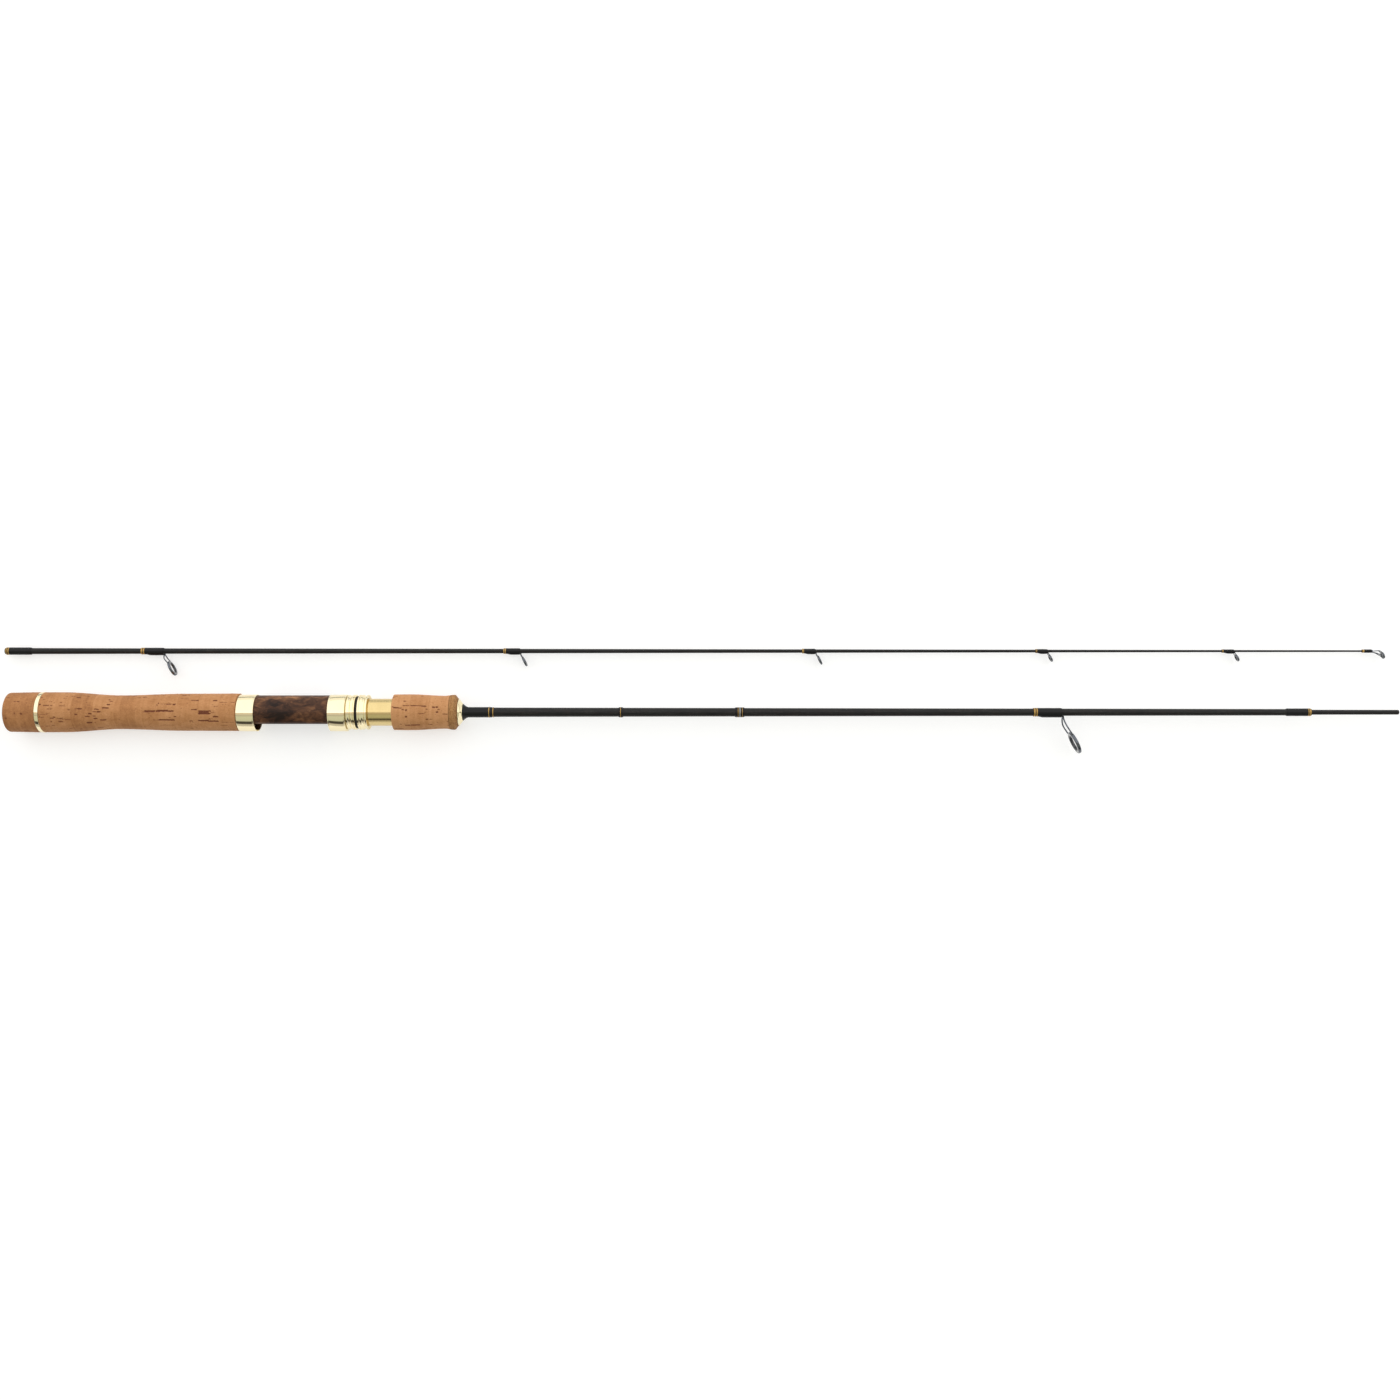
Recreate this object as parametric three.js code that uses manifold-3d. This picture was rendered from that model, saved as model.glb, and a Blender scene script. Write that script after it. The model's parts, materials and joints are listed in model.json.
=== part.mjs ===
// A two-piece spinning rod, laid down as two sections side by side.
// Millimetres, +Z up. X runs from butt to tip, and the line guides point towards -Y.
// Every length along X is measured from the face of the butt end. The origin of the
// finished group is below the middle of the object, on the surface it lies on.
import * as THREE from 'three';
import { mergeVertices } from 'three/addons/utils/BufferGeometryUtils.js';
import Module from 'manifold-3d';

const wasm = await Module();
wasm.setup();

// ---------------------------------------------------------------- driving dimensions

// Whole rod
const JOINED_LENGTH = 1854;
const TIP_SECTION_LENGTH = 958;
const SPIGOT_OUT = 61;
const SPIGOT_GLUED = 59;
const FERRULE_X = JOINED_LENGTH - TIP_SECTION_LENGTH;
const TIP_SECTION_X = -7;
const SECTION_SPACING = 42.4;

// Facets of the turned pieces
const GRIP_FACETS = 28;
const HOOD_FACETS = 40;
const THIN_FACETS = 16;
const RING_FACETS = 18;

// Blanks: [x, radius], straight between the stations
const BUTT_BLANK = [[5, 3.85], [FERRULE_X, 2.185]];
const BUTT_BORE = [[5, 2.9], [FERRULE_X - SPIGOT_GLUED - 1, 1.78], [FERRULE_X, 1.78]];
const TIP_BLANK = [
  [TIP_SECTION_X, 2.2], [90, 1.93], [340, 1.56], [480, 1.32], [700, 0.98], [850, 0.74], [941, 0.6],
];
const TIP_BORE = [[TIP_SECTION_X, 1.76], [TIP_SECTION_X + 66, 1.7], [90, 1.4], [480, 0.8], [620, 0.6]];
const SPIGOT_RADIUS = [1.7, 1.64];
const GLUE_GAP = 0.25;
const WRAP_GAP = 0.06;

// Cork: [x, radius], each span a smooth S-shaped blend
const GRIP_SHAPE = [[0, 13.5], [22, 13.8], [38, 13.75], [77, 11.6], [120, 12.75], [159, 12.9]];
const FORE_SHAPE = [[264, 12.25], [276, 12.35], [300, 11.35], [305.5, 12.05], [309, 12.05]];
const BUTT_CORNER = 1.1;
const CAP_LENGTH = 21.8;
const CAP_TENON_RADIUS = 9.8;
const TRIM_RING = { start: 22.0, end: 24.65, radius: 13.95, bore: 10.0 };
const REAR_CORK_START = 24.85;
const REAR_CORK_END = 158.3;
const REAR_CORK_PITCH = 14.35;
const LAST_REAR_RING = 10.9;
const GLUE_LINE = 0.1;
const FORE_CORK_START = 264.4;
const FORE_CORK_END = 303.4;
const FORE_CORK_RINGS = 3;
const END_RING = { start: 303.6, crest: 305.2, shoulder: 306.8, end: 308.8, nose: 9.4 };

// Reel seat
const HOOD_RADIUS = 12.7;
const HOOD_WALL = 0.45;
const HOOD_DROP = 0.5;
const HOOD_END_WALL = 1.0;
const FIXED_HOOD = [158.6, 170.6];
const SLIDING_HOOD = [221.0, 232.8];
const INSERT = { start: 160.1, end: 225.7, radius: 11.65, bed: 8.0, bedHalf: 7.4, bevel: 0.5 };
const BARREL = { start: 226.0, end: 264.1, radius: 9.4, bore: 7.6 };
const BARREL_CLEARANCE = 0.28;
const WASHER = { start: 232.9, end: 233.3, radius: 11.7 };
const NUT = { start: 233.4, end: 247.4, radius: 12.1, neck: 11.5, groove: 10.4 };
const NUT_BAND = { centre: 240.1, width: 1.5, radius: 11.2 };

// Winding check and the wrap in front of the grip
const CHECK = { start: 309.0, end: 311.9, base: 9.2, nose: 6.0 };
const GRIP_WRAP = { start: 312.1, end: 331.9, flare: 5.75, radius: 3.55 };
const GRIP_BANDS = [329.4, 332.2];
const GRIP_BAND_WIDTH = 1.0;

// Plain wraps: start and end along X, and thread thickness over the blank
const BUTT_WRAPS = {
  trim_wrap_rear: { start: 418.9, end: 422.1, thickness: 0.38 },
  trim_wrap_front: { start: 499.0, end: 505.7, thickness: 0.42 },
  ferrule_wrap_butt: { start: 878.4, end: FERRULE_X - 0.2, thickness: 0.34 },
};
const TIP_WRAPS = {
  ferrule_wrap_tip: { start: TIP_SECTION_X + 0.4, end: 11.2, thickness: 0.3 },
};

// Single-foot guides. wrapEnd is where the legs leave the blank, reach how far the ring's
// centre lies in front of that, drop how far the ring's lowest point is from the axis.
const RAKE = 26;
const STRIPPER = {
  name: 'stripper_guide', wrapStart: 704.4, wrapEnd: 724.2, reach: 8.8, drop: 28.2,
  ring: 16.2, bezel: 1.15, insert: 1.35, depth: 2.2, wire: 0.55, foot: [1.9, 0.6], bow: 1.8,
};
const TIP_GUIDES = [
  {
    name: 'guide_1', wrapStart: 87.3, wrapEnd: 103.0, reach: 5.6, drop: 16.9,
    ring: 11, bezel: 0.85, insert: 0.95, depth: 1.7, wire: 0.42, foot: [1.5, 0.5], bow: 1.2,
  },
  {
    name: 'guide_2', wrapStart: 338.6, wrapEnd: 350.2, reach: 3.1, drop: 10.5,
    ring: 7.2, bezel: 0.6, insert: 0.75, depth: 1.4, wire: 0.34, foot: [1.2, 0.45], bow: 0.5,
  },
  {
    name: 'guide_3', wrapStart: 545.8, wrapEnd: 555.2, reach: 2.9, drop: 9.4,
    ring: 6.9, bezel: 0.6, insert: 0.7, depth: 1.35, wire: 0.33, foot: [1.1, 0.42], bow: 0.5,
  },
  {
    name: 'guide_4', wrapStart: 707.8, wrapEnd: 716.3, reach: 2.0, drop: 7.4,
    ring: 5.7, bezel: 0.5, insert: 0.65, depth: 1.25, wire: 0.3, foot: [0.95, 0.4], bow: 0.35,
  },
  {
    name: 'guide_5', wrapStart: 837.2, wrapEnd: 845.8, reach: 2.0, drop: 7.1,
    ring: 5.3, bezel: 0.5, insert: 0.6, depth: 1.2, wire: 0.3, foot: [0.85, 0.38], bow: 0.35,
  },
];
const FOOT_SETBACK = 5;
const SWELL_START = -1.6;
const SWELL_END = 1.6;
const WRAP_THICKNESS = 0.32;
const INSERT_GAP = 0.08;

// Tip-top
const TIP_TOP = {
  tube: [936.6, 943.4], tubeRadius: 0.95, stem: 945.0, wire: 0.27,
  centre: [949.0, -3.0], ring: 4.8, bezel: 0.42, insert: 0.62, depth: 1.2, rake: 18,
};
const TIP_WRAP = { start: 934.4, end: 941.2, radius: 1.2 };

// ---------------------------------------------------------------- finishes

const finish = (color, roughness, metalness) => () =>
  new THREE.MeshStandardMaterial({ color, roughness, metalness });
const cork = finish(0xc8966e, 0.8, 0);
const compositeCork = finish(0xa5784b, 0.8, 0);
const polishedGold = finish(0xd9bd7c, 0.15, 1);
const satinGold = finish(0xc9a866, 0.4, 1);
const burl = finish(0x4a2c1e, 0.25, 0);
const carbon = finish(0x1c1c1e, 0.2, 0.1);
const thread = finish(0x101012, 0.2, 0);
const goldThread = finish(0xa8843c, 0.4, 0.6);
const steel = finish(0xb4b6ba, 0.2, 1);
const ceramic = finish(0x23262e, 0.15, 0.2);
const rubber = finish(0x0d0c0c, 0.6, 0);
const foam = finish(0x6a6a68, 0.9, 0);

// ---------------------------------------------------------------- geometry helpers

// The radius at x on straight spans between stations of [x, radius].
function taper(stations, x) {
  const last = stations.length - 1;
  let i = 1;
  while (i < last && x > stations[i][0]) i += 1;
  const [x0, r0] = stations[i - 1];
  const [x1, r1] = stations[i];
  return r0 + (r1 - r0) * THREE.MathUtils.clamp((x - x0) / (x1 - x0), 0, 1);
}

// The same, with each span blended by a smooth S-curve.
function blend(stations, x) {
  const last = stations.length - 1;
  let i = 1;
  while (i < last && x > stations[i][0]) i += 1;
  const [x0, r0] = stations[i - 1];
  const [x1, r1] = stations[i];
  return r0 + (r1 - r0) * THREE.MathUtils.smoothstep(x, x0, x1);
}

// A body turned about the X axis. The outline is a closed loop of [x, radius] that goes
// round the section from the bore's low-x end, and may touch the axis.
function turned(outline, facets) {
  const loop = [...outline, outline[0]].map(([x, r]) => new THREE.Vector2(r, x));
  return new THREE.LatheGeometry(loop, facets).rotateZ(-Math.PI / 2);
}

// A tube about the X axis: a straight bore and an outer outline of [x, radius].
function sleeve(bore, outer, facets) {
  const start = outer[0][0];
  const end = outer[outer.length - 1][0];
  return turned([[start, bore], ...outer.map(([x, r]) => [x, r]), [end, bore]], facets);
}

// A round wire along a curve.
function wire(curve, radius, steps = 4, sides = 4) {
  const shape = new THREE.Shape().absarc(0, 0, radius, 0, 2 * Math.PI);
  return new THREE.ExtrudeGeometry(shape, {
    steps, curveSegments: sides, bevelEnabled: false, extrudePath: curve,
  });
}

function solid(geometry) {
  const shell = geometry.clone();
  shell.deleteAttribute('normal');
  shell.deleteAttribute('uv');
  const merged = mergeVertices(shell, 1e-4);
  const mesh = new wasm.Mesh({
    numProp: 3,
    vertProperties: new Float32Array(merged.attributes.position.array),
    triVerts: new Uint32Array(merged.index.array),
  });
  return new wasm.Manifold(mesh);
}

function geometryOf(manifold) {
  const mesh = manifold.getMesh();
  const geometry = new THREE.BufferGeometry();
  geometry.setAttribute('position', new THREE.BufferAttribute(mesh.vertProperties, 3));
  geometry.setIndex(new THREE.BufferAttribute(mesh.triVerts, 1));
  geometry.computeVertexNormals();
  return geometry;
}

const joined = (geometries) =>
  geometryOf(geometries.map(solid).reduce((all, next) => all.add(next)));

function node(name, geometry, material) {
  const mesh = new THREE.Mesh(geometry, material());
  mesh.name = name;
  return mesh;
}

// ---------------------------------------------------------------- cork grips

function corkRing(shape, start, end) {
  const bore = taper(BUTT_BLANK, start) + GLUE_GAP;
  const outer = [start, end].map((x) => [x, blend(shape, x)]);
  return sleeve(bore, outer, GRIP_FACETS);
}

function buttCap() {
  const bore = taper(BUTT_BLANK, 5) + GLUE_GAP;
  const blindEnd = BUTT_BLANK[0][0] - 0.3;
  const corner = [0, 45, 90].map((deg) => {
    const a = THREE.MathUtils.degToRad(deg);
    const centre = blend(GRIP_SHAPE, BUTT_CORNER) - BUTT_CORNER;
    return [BUTT_CORNER * (1 - Math.sin(a)), centre + BUTT_CORNER * Math.cos(a)];
  }).reverse();
  return turned([
    [blindEnd, 0], [0, 0], ...corner,
    [CAP_LENGTH, blend(GRIP_SHAPE, CAP_LENGTH)],
    [CAP_LENGTH, CAP_TENON_RADIUS], [TRIM_RING.end, CAP_TENON_RADIUS],
    [TRIM_RING.end, bore], [blindEnd, bore],
  ], GRIP_FACETS);
}

function rearGrip() {
  const pieces = [
    node('butt_cap', buttCap(), cork),
    node('butt_trim_ring', sleeve(TRIM_RING.bore, [
      [TRIM_RING.start, TRIM_RING.radius - 0.25], [TRIM_RING.start + 0.5, TRIM_RING.radius],
      [TRIM_RING.end - 0.5, TRIM_RING.radius], [TRIM_RING.end, TRIM_RING.radius - 0.25],
    ], GRIP_FACETS), polishedGold),
  ];
  const seams = [REAR_CORK_END, REAR_CORK_END - LAST_REAR_RING];
  while (seams.at(-1) - REAR_CORK_PITCH > REAR_CORK_START + 1) {
    seams.push(seams.at(-1) - REAR_CORK_PITCH);
  }
  seams.push(REAR_CORK_START - GLUE_LINE);
  seams.reverse();
  for (let i = 0; i + 1 < seams.length; i += 1) {
    const ring = corkRing(GRIP_SHAPE, seams[i] + GLUE_LINE, seams[i + 1]);
    pieces.push(node(`rear_cork_ring_${i + 1}`, ring, cork));
  }
  return pieces;
}

function foreGrip() {
  const pieces = [];
  const pitch = (FORE_CORK_END - FORE_CORK_START) / FORE_CORK_RINGS;
  for (let i = 0; i < FORE_CORK_RINGS; i += 1) {
    const start = FORE_CORK_START + i * pitch;
    const ring = corkRing(FORE_SHAPE, start, start + pitch - GLUE_LINE);
    pieces.push(node(`fore_cork_ring_${i + 1}`, ring, cork));
  }
  const bore = taper(BUTT_BLANK, END_RING.start) + GLUE_GAP;
  const endRing = sleeve(bore, [
    [END_RING.start, blend(FORE_SHAPE, END_RING.start)], [END_RING.crest, blend(FORE_SHAPE, END_RING.crest)],
    [END_RING.shoulder, blend(FORE_SHAPE, END_RING.shoulder)], [END_RING.end, END_RING.nose],
  ], GRIP_FACETS);
  pieces.push(node('fore_end_ring', endRing, compositeCork));
  const check = sleeve(taper(BUTT_BLANK, CHECK.start) + WRAP_GAP, [
    [CHECK.start, CHECK.base], [CHECK.start + 0.4, CHECK.base],
    [CHECK.end - 0.3, CHECK.nose + 0.1], [CHECK.end, CHECK.nose],
  ], GRIP_FACETS);
  pieces.push(node('winding_check', check, polishedGold));
  return pieces;
}

// ---------------------------------------------------------------- reel seat

const rod = (start, end, radius, facets, y = 0) =>
  turned([[start, 0], [start, radius], [end, radius], [end, 0]], facets).translate(0, y, 0);

// A cup whose axis lies below the rod's, so that it leaves a pocket over the flat bed.
function hood([start, end], endWall, hole) {
  const [wallStart, wallEnd] = endWall;
  const boreStart = wallStart > start ? start - HOOD_RADIUS : wallEnd;
  const boreEnd = wallStart > start ? wallStart : end + HOOD_RADIUS;
  const shell = solid(rod(start, end, HOOD_RADIUS, HOOD_FACETS, -HOOD_DROP));
  const bore = solid(rod(boreStart, boreEnd, HOOD_RADIUS - HOOD_WALL, HOOD_FACETS, -HOOD_DROP));
  const passage = solid(rod(start - 1, end + 1, hole, GRIP_FACETS));
  return geometryOf(shell.subtract(bore).subtract(passage));
}

// A round bar with a flat bed for the reel foot. Both edges of the bed are bevelled, so a
// foot as wide as the bed still passes into the hoods.
function insert() {
  const { start, end, radius, bed, bedHalf, bevel } = INSERT;
  const bore = taper(BUTT_BLANK, start) + GLUE_GAP;
  let body = solid(sleeve(bore, [[start, radius], [end, radius]], HOOD_FACETS));
  for (const side of [-1, 0, 1]) {
    const waste = new THREE.BoxGeometry(end - start + 2, radius, 3 * radius);
    waste.translate(0, -radius / 2, 0).rotateX(-side * bevel);
    waste.translate((start + end) / 2, -bed, side * bedHalf);
    body = body.subtract(solid(waste));
  }
  return geometryOf(body);
}

function seatPieces() {
  const rearHole = taper(BUTT_BLANK, FIXED_HOOD[0]) + GLUE_GAP;
  const rearWall = [FIXED_HOOD[0], FIXED_HOOD[0] + HOOD_END_WALL];
  const barrel = sleeve(
    BARREL.bore, [[BARREL.start, BARREL.radius], [BARREL.end, BARREL.radius]], GRIP_FACETS);
  const arborBore = taper(BUTT_BLANK, BARREL.start) + GLUE_GAP;
  const arborRadius = BARREL.bore - GLUE_GAP;
  const arbor = sleeve(
    arborBore, [[BARREL.start + 0.5, arborRadius], [BARREL.end - 0.5, arborRadius]], GRIP_FACETS);
  return [
    node('fixed_hood', hood(FIXED_HOOD, rearWall, rearHole), polishedGold),
    node('seat_insert', insert(), burl),
    node('seat_barrel', barrel, satinGold),
    node('seat_arbor', arbor, foam),
  ];
}

function slidingPieces() {
  const hole = BARREL.radius + BARREL_CLEARANCE;
  const frontWall = [SLIDING_HOOD[1] - HOOD_END_WALL, SLIDING_HOOD[1]];
  const washer = sleeve(
    hole, [[WASHER.start, WASHER.radius], [WASHER.end, WASHER.radius]], GRIP_FACETS);
  return [
    node('sliding_hood', hood(SLIDING_HOOD, frontWall, hole), polishedGold),
    node('thrust_washer', washer, satinGold),
  ];
}

// Each side of the groove that holds the rubber band, a rim, a hollow and a broad bead.
function lockNut() {
  const grooveEdge = NUT_BAND.centre - NUT_BAND.width / 2 - 0.1;
  const half = [
    [NUT.start, NUT.radius - 0.4], [NUT.start + 0.4, NUT.radius - 0.1],
    [NUT.start + 0.9, NUT.radius - 0.1], [NUT.start + 2.0, NUT.neck],
    [NUT.start + 3.1, NUT.radius - 0.1], [grooveEdge, NUT.radius], [grooveEdge, NUT.groove],
  ];
  const stretch = (NUT.end - NUT_BAND.centre) / (NUT_BAND.centre - NUT.start);
  const mirrored = half.map(([x, r]) => [
    NUT_BAND.centre + (NUT_BAND.centre - x) * (x < grooveEdge ? stretch : 1), r,
  ]).reverse();
  return sleeve(BARREL.radius + BARREL_CLEARANCE, [...half, ...mirrored], GRIP_FACETS);
}

function nutPieces() {
  const middle = NUT_BAND.centre;
  const start = middle - NUT_BAND.width / 2;
  const end = middle + NUT_BAND.width / 2;
  const band = sleeve(NUT.groove + 0.1, [
    [start, NUT_BAND.radius - 0.3], [middle, NUT_BAND.radius], [end, NUT_BAND.radius - 0.3],
  ], GRIP_FACETS);
  return [node('lock_nut', lockNut(), polishedGold), node('nut_rubber_band', band, rubber)];
}

// ---------------------------------------------------------------- blanks and plain wraps

function hollowBlank(outer, bore, openEnd) {
  const inner = [...bore].reverse();
  const closing = openEnd ? [] : [[inner[0][0], 0]];
  const nose = openEnd ? [] : [[outer.at(-1)[0], 0]];
  return turned([...outer, ...nose, ...closing, ...inner], THIN_FACETS);
}

function spigot() {
  const start = FERRULE_X - SPIGOT_GLUED;
  const end = FERRULE_X + SPIGOT_OUT;
  const [thick, thin] = SPIGOT_RADIUS;
  return turned([
    [start, 0], [start, thick], [FERRULE_X, thick], [end - 0.6, thin], [end, thin - 0.5], [end, 0],
  ], THIN_FACETS);
}

function plainWrap(blank, { start, end, thickness }) {
  const bore = taper(blank, start) + WRAP_GAP;
  const radius = bore + thickness;
  const edge = Math.min(0.6, (end - start) / 4);
  return sleeve(bore, [
    [start, radius - thickness / 2], [start + edge, radius],
    [end - edge, radius], [end, radius - thickness / 2],
  ], THIN_FACETS);
}

function gripWraps() {
  const bore = taper(BUTT_BLANK, GRIP_WRAP.start) + WRAP_GAP;
  const { start, end, flare, radius } = GRIP_WRAP;
  const wrap = sleeve(bore, [
    [start, flare], [start + 0.8, radius + 1.35], [start + 1.8, radius + 0.6],
    [start + 3.2, radius + 0.15], [start + 4.5, radius], [end, radius],
  ], THIN_FACETS);
  const bands = GRIP_BANDS.map((x, i) => {
    const onWrap = x + GRIP_BAND_WIDTH < end;
    const inside = onWrap ? radius + WRAP_GAP : bore;
    const outside = radius + (onWrap ? 0.2 : 0.05);
    const band = sleeve(inside, [[x, outside], [x + GRIP_BAND_WIDTH, outside]], THIN_FACETS);
    return node(`grip_gold_band_${i + 1}`, band, goldThread);
  });
  return [node('grip_wrap', wrap, thread), ...bands];
}

// ---------------------------------------------------------------- line guides

// The thread wrap over a guide's foot: a tube that swells towards -Y where the foot lies.
function footWrap(blank, guide) {
  const { wrapStart: start, wrapEnd: end } = guide;
  const bore = taper(blank, start) + WRAP_GAP;
  const radius = bore + WRAP_THICKNESS;
  const footStart = start + FOOT_SETBACK * footScale(guide);
  const stops = [start, footStart + SWELL_START, footStart, footStart + SWELL_END, end];
  const outer = stops.map((x) => [x, x === start ? radius - WRAP_THICKNESS / 2 : radius]);
  const inner = [...stops].reverse().map((x) => [x, bore]);
  const geometry = turned([...outer, ...inner], THIN_FACETS);
  const swell = guide.foot[1] + 0.4;
  const { position } = geometry.attributes;
  for (let i = 0; i < position.count; i += 1) {
    const [x, y, z] = [position.getX(i), position.getY(i), position.getZ(i)];
    if (y >= 0) continue;
    const rise = THREE.MathUtils.smoothstep(x, footStart + SWELL_START, footStart + SWELL_END);
    position.setY(i, y * (1 + (swell * rise) / Math.hypot(y, z)));
  }
  return geometry;
}

const footScale = (guide) => Math.min(1, (guide.wrapEnd - guide.wrapStart) / 16);

// A ceramic ring with a rounded bore, a little longer than the bezel that holds it.
function ceramicRing(outerRadius, width, half) {
  const bore = outerRadius - width;
  return turned([
    [0, bore], [-half, bore + width * 0.35], [-half, outerRadius],
    [half, outerRadius], [half, bore + width * 0.35],
  ], RING_FACETS);
}

// Foot, two bowed legs and the bezel that holds the ceramic ring.
function guidePieces(blank, guide) {
  const rake = THREE.MathUtils.degToRad(RAKE);
  const outerRadius = guide.ring / 2;
  const centreX = guide.wrapEnd + guide.reach;
  const centreY = outerRadius * Math.cos(rake) - guide.drop;
  const raked = (geometry) => geometry.rotateZ(rake).translate(centreX, centreY, 0);
  const half = guide.depth / 2;

  const bezelBore = outerRadius - guide.bezel;
  const bezel = raked(sleeve(bezelBore, [
    [-half * 0.8, outerRadius - guide.bezel * 0.4], [0, outerRadius],
    [half * 0.8, outerRadius - guide.bezel * 0.4],
  ], RING_FACETS));

  const seat = taper(blank, guide.wrapStart) + WRAP_GAP;
  const [footWidth, footThickness] = guide.foot;
  const footStart = guide.wrapStart + FOOT_SETBACK * footScale(guide);
  const footEnd = guide.wrapEnd + 2.2 * guide.wire;
  const toe = footStart + SWELL_END + 0.1;
  const foot = new THREE.BoxGeometry(footEnd - toe, footThickness, footWidth)
    .translate((toe + footEnd) / 2, -seat - footThickness / 2, 0);

  const legs = [-1, 1].map((side) => {
    const attach = THREE.MathUtils.degToRad(42);
    const up = (outerRadius - guide.bezel / 2) * Math.cos(attach);
    const out = (outerRadius - guide.bezel / 2) * Math.sin(attach);
    const start = new THREE.Vector3(
      footEnd - guide.wire, -seat - footThickness / 2, side * footWidth * 0.22);
    const end = new THREE.Vector3(
      centreX - up * Math.sin(rake), centreY + up * Math.cos(rake), side * out);
    const knee = start.clone().lerp(end, 0.35);
    knee.x -= guide.bow * 0.35;
    knee.z = side * (out * 0.55 + guide.bow * 0.5);
    const calf = start.clone().lerp(end, 0.72);
    calf.z = side * (out * 0.95 + guide.bow * 0.4);
    return wire(new THREE.CatmullRomCurve3([start, knee, calf, end]), guide.wire);
  });

  const insertOuter = bezelBore - INSERT_GAP;
  const ring = raked(ceramicRing(insertOuter, guide.insert, half));

  return [
    node(`${guide.name}_wrap`, footWrap(blank, guide), thread),
    node(`${guide.name}_frame`, joined([foot, ...legs, bezel]), steel),
    node(`${guide.name}_ring`, ring, ceramic),
  ];
}

// Tube over the blank's tip, and two wires that leave it together and part to the bezel.
function tipTopPieces() {
  const rake = THREE.MathUtils.degToRad(TIP_TOP.rake);
  const [centreX, centreY] = TIP_TOP.centre;
  const outerRadius = TIP_TOP.ring / 2;
  const half = TIP_TOP.depth / 2;
  const raked = (geometry) => geometry.rotateZ(rake).translate(centreX, centreY, 0);
  const bezelBore = outerRadius - TIP_TOP.bezel;
  const bezel = raked(sleeve(bezelBore, [
    [-half * 0.8, outerRadius - 0.15], [0, outerRadius], [half * 0.8, outerRadius - 0.15],
  ], RING_FACETS));

  const [tubeStart, tubeEnd] = TIP_TOP.tube;
  const tubeBore = taper(TIP_BLANK, tubeStart) + WRAP_GAP;
  const tube = sleeve(
    tubeBore, [[tubeStart, TIP_TOP.tubeRadius], [tubeEnd, TIP_TOP.tubeRadius]], THIN_FACETS);

  const stemY = -(tubeBore + TIP_TOP.tubeRadius) / 2;
  const rimRadius = outerRadius - TIP_TOP.bezel / 2;
  const attach = THREE.MathUtils.degToRad(55);
  const up = rimRadius * Math.cos(attach);
  const out = rimRadius * Math.sin(attach);
  const paths = [-1, 1].map((side) => [
    new THREE.Vector3(tubeEnd - 1.2, stemY, side * 0.33),
    new THREE.Vector3(TIP_TOP.stem - 1.2, stemY - 0.05, side * 0.4),
    new THREE.Vector3(TIP_TOP.stem + 1.6, stemY + 0.1, side * 1.4),
    new THREE.Vector3(centreX - up * Math.sin(rake), centreY + up * Math.cos(rake), side * out),
  ]);
  const wires = paths.map((points) => wire(new THREE.CatmullRomCurve3(points), TIP_TOP.wire));

  const insertOuter = bezelBore - INSERT_GAP;
  const ring = raked(ceramicRing(insertOuter, TIP_TOP.insert, half));

  const wrapBore = TIP_TOP.tubeRadius + WRAP_GAP;
  const nearBlank = taper(TIP_BLANK, TIP_WRAP.start) + WRAP_GAP;
  const wrap = turned([
    [TIP_WRAP.start, nearBlank], [TIP_WRAP.start, nearBlank + 0.2],
    [tubeStart + 0.6, TIP_WRAP.radius], [TIP_WRAP.end - 0.5, TIP_WRAP.radius],
    [TIP_WRAP.end, TIP_WRAP.radius - 0.1], [TIP_WRAP.end, wrapBore],
    [tubeStart - 0.15, wrapBore], [tubeStart - 0.15, nearBlank],
  ], THIN_FACETS);

  return [
    node('tip_top_frame', joined([tube, ...wires, bezel]), steel),
    node('tip_top_ring', ring, ceramic),
    node('tip_top_wrap', wrap, thread),
  ];
}

// ---------------------------------------------------------------- the two sections

const buttSection = new THREE.Group();
buttSection.add(
  ...rearGrip(), ...seatPieces(), ...slidingPieces(), ...nutPieces(), ...foreGrip(),
  node('butt_blank', hollowBlank(BUTT_BLANK, BUTT_BORE, true), carbon),
  node('spigot', spigot(), carbon),
  ...gripWraps(),
  ...Object.entries(BUTT_WRAPS).map(([name, size]) =>
    node(name, plainWrap(BUTT_BLANK, size), thread)),
  ...guidePieces(BUTT_BLANK, STRIPPER),
);
buttSection.position.set(0, 0, TRIM_RING.radius);

const tipSection = new THREE.Group();
tipSection.add(
  node('tip_blank', hollowBlank(TIP_BLANK, TIP_BORE, false), carbon),
  ...Object.entries(TIP_WRAPS).map(([name, size]) =>
    node(name, plainWrap(TIP_BLANK, size), thread)),
  ...TIP_GUIDES.flatMap((guide) => guidePieces(TIP_BLANK, guide)),
  ...tipTopPieces(),
);
tipSection.position.set(0, SECTION_SPACING, TIP_GUIDES[0].ring / 2);

const rodPair = new THREE.Group();
rodPair.add(buttSection, tipSection);
rodPair.updateMatrixWorld(true);
const extent = new THREE.Box3().setFromObject(rodPair, true);
const middle = extent.getCenter(new THREE.Vector3());
rodPair.position.set(-middle.x, -middle.y, -extent.min.z);

export default rodPair;
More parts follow.
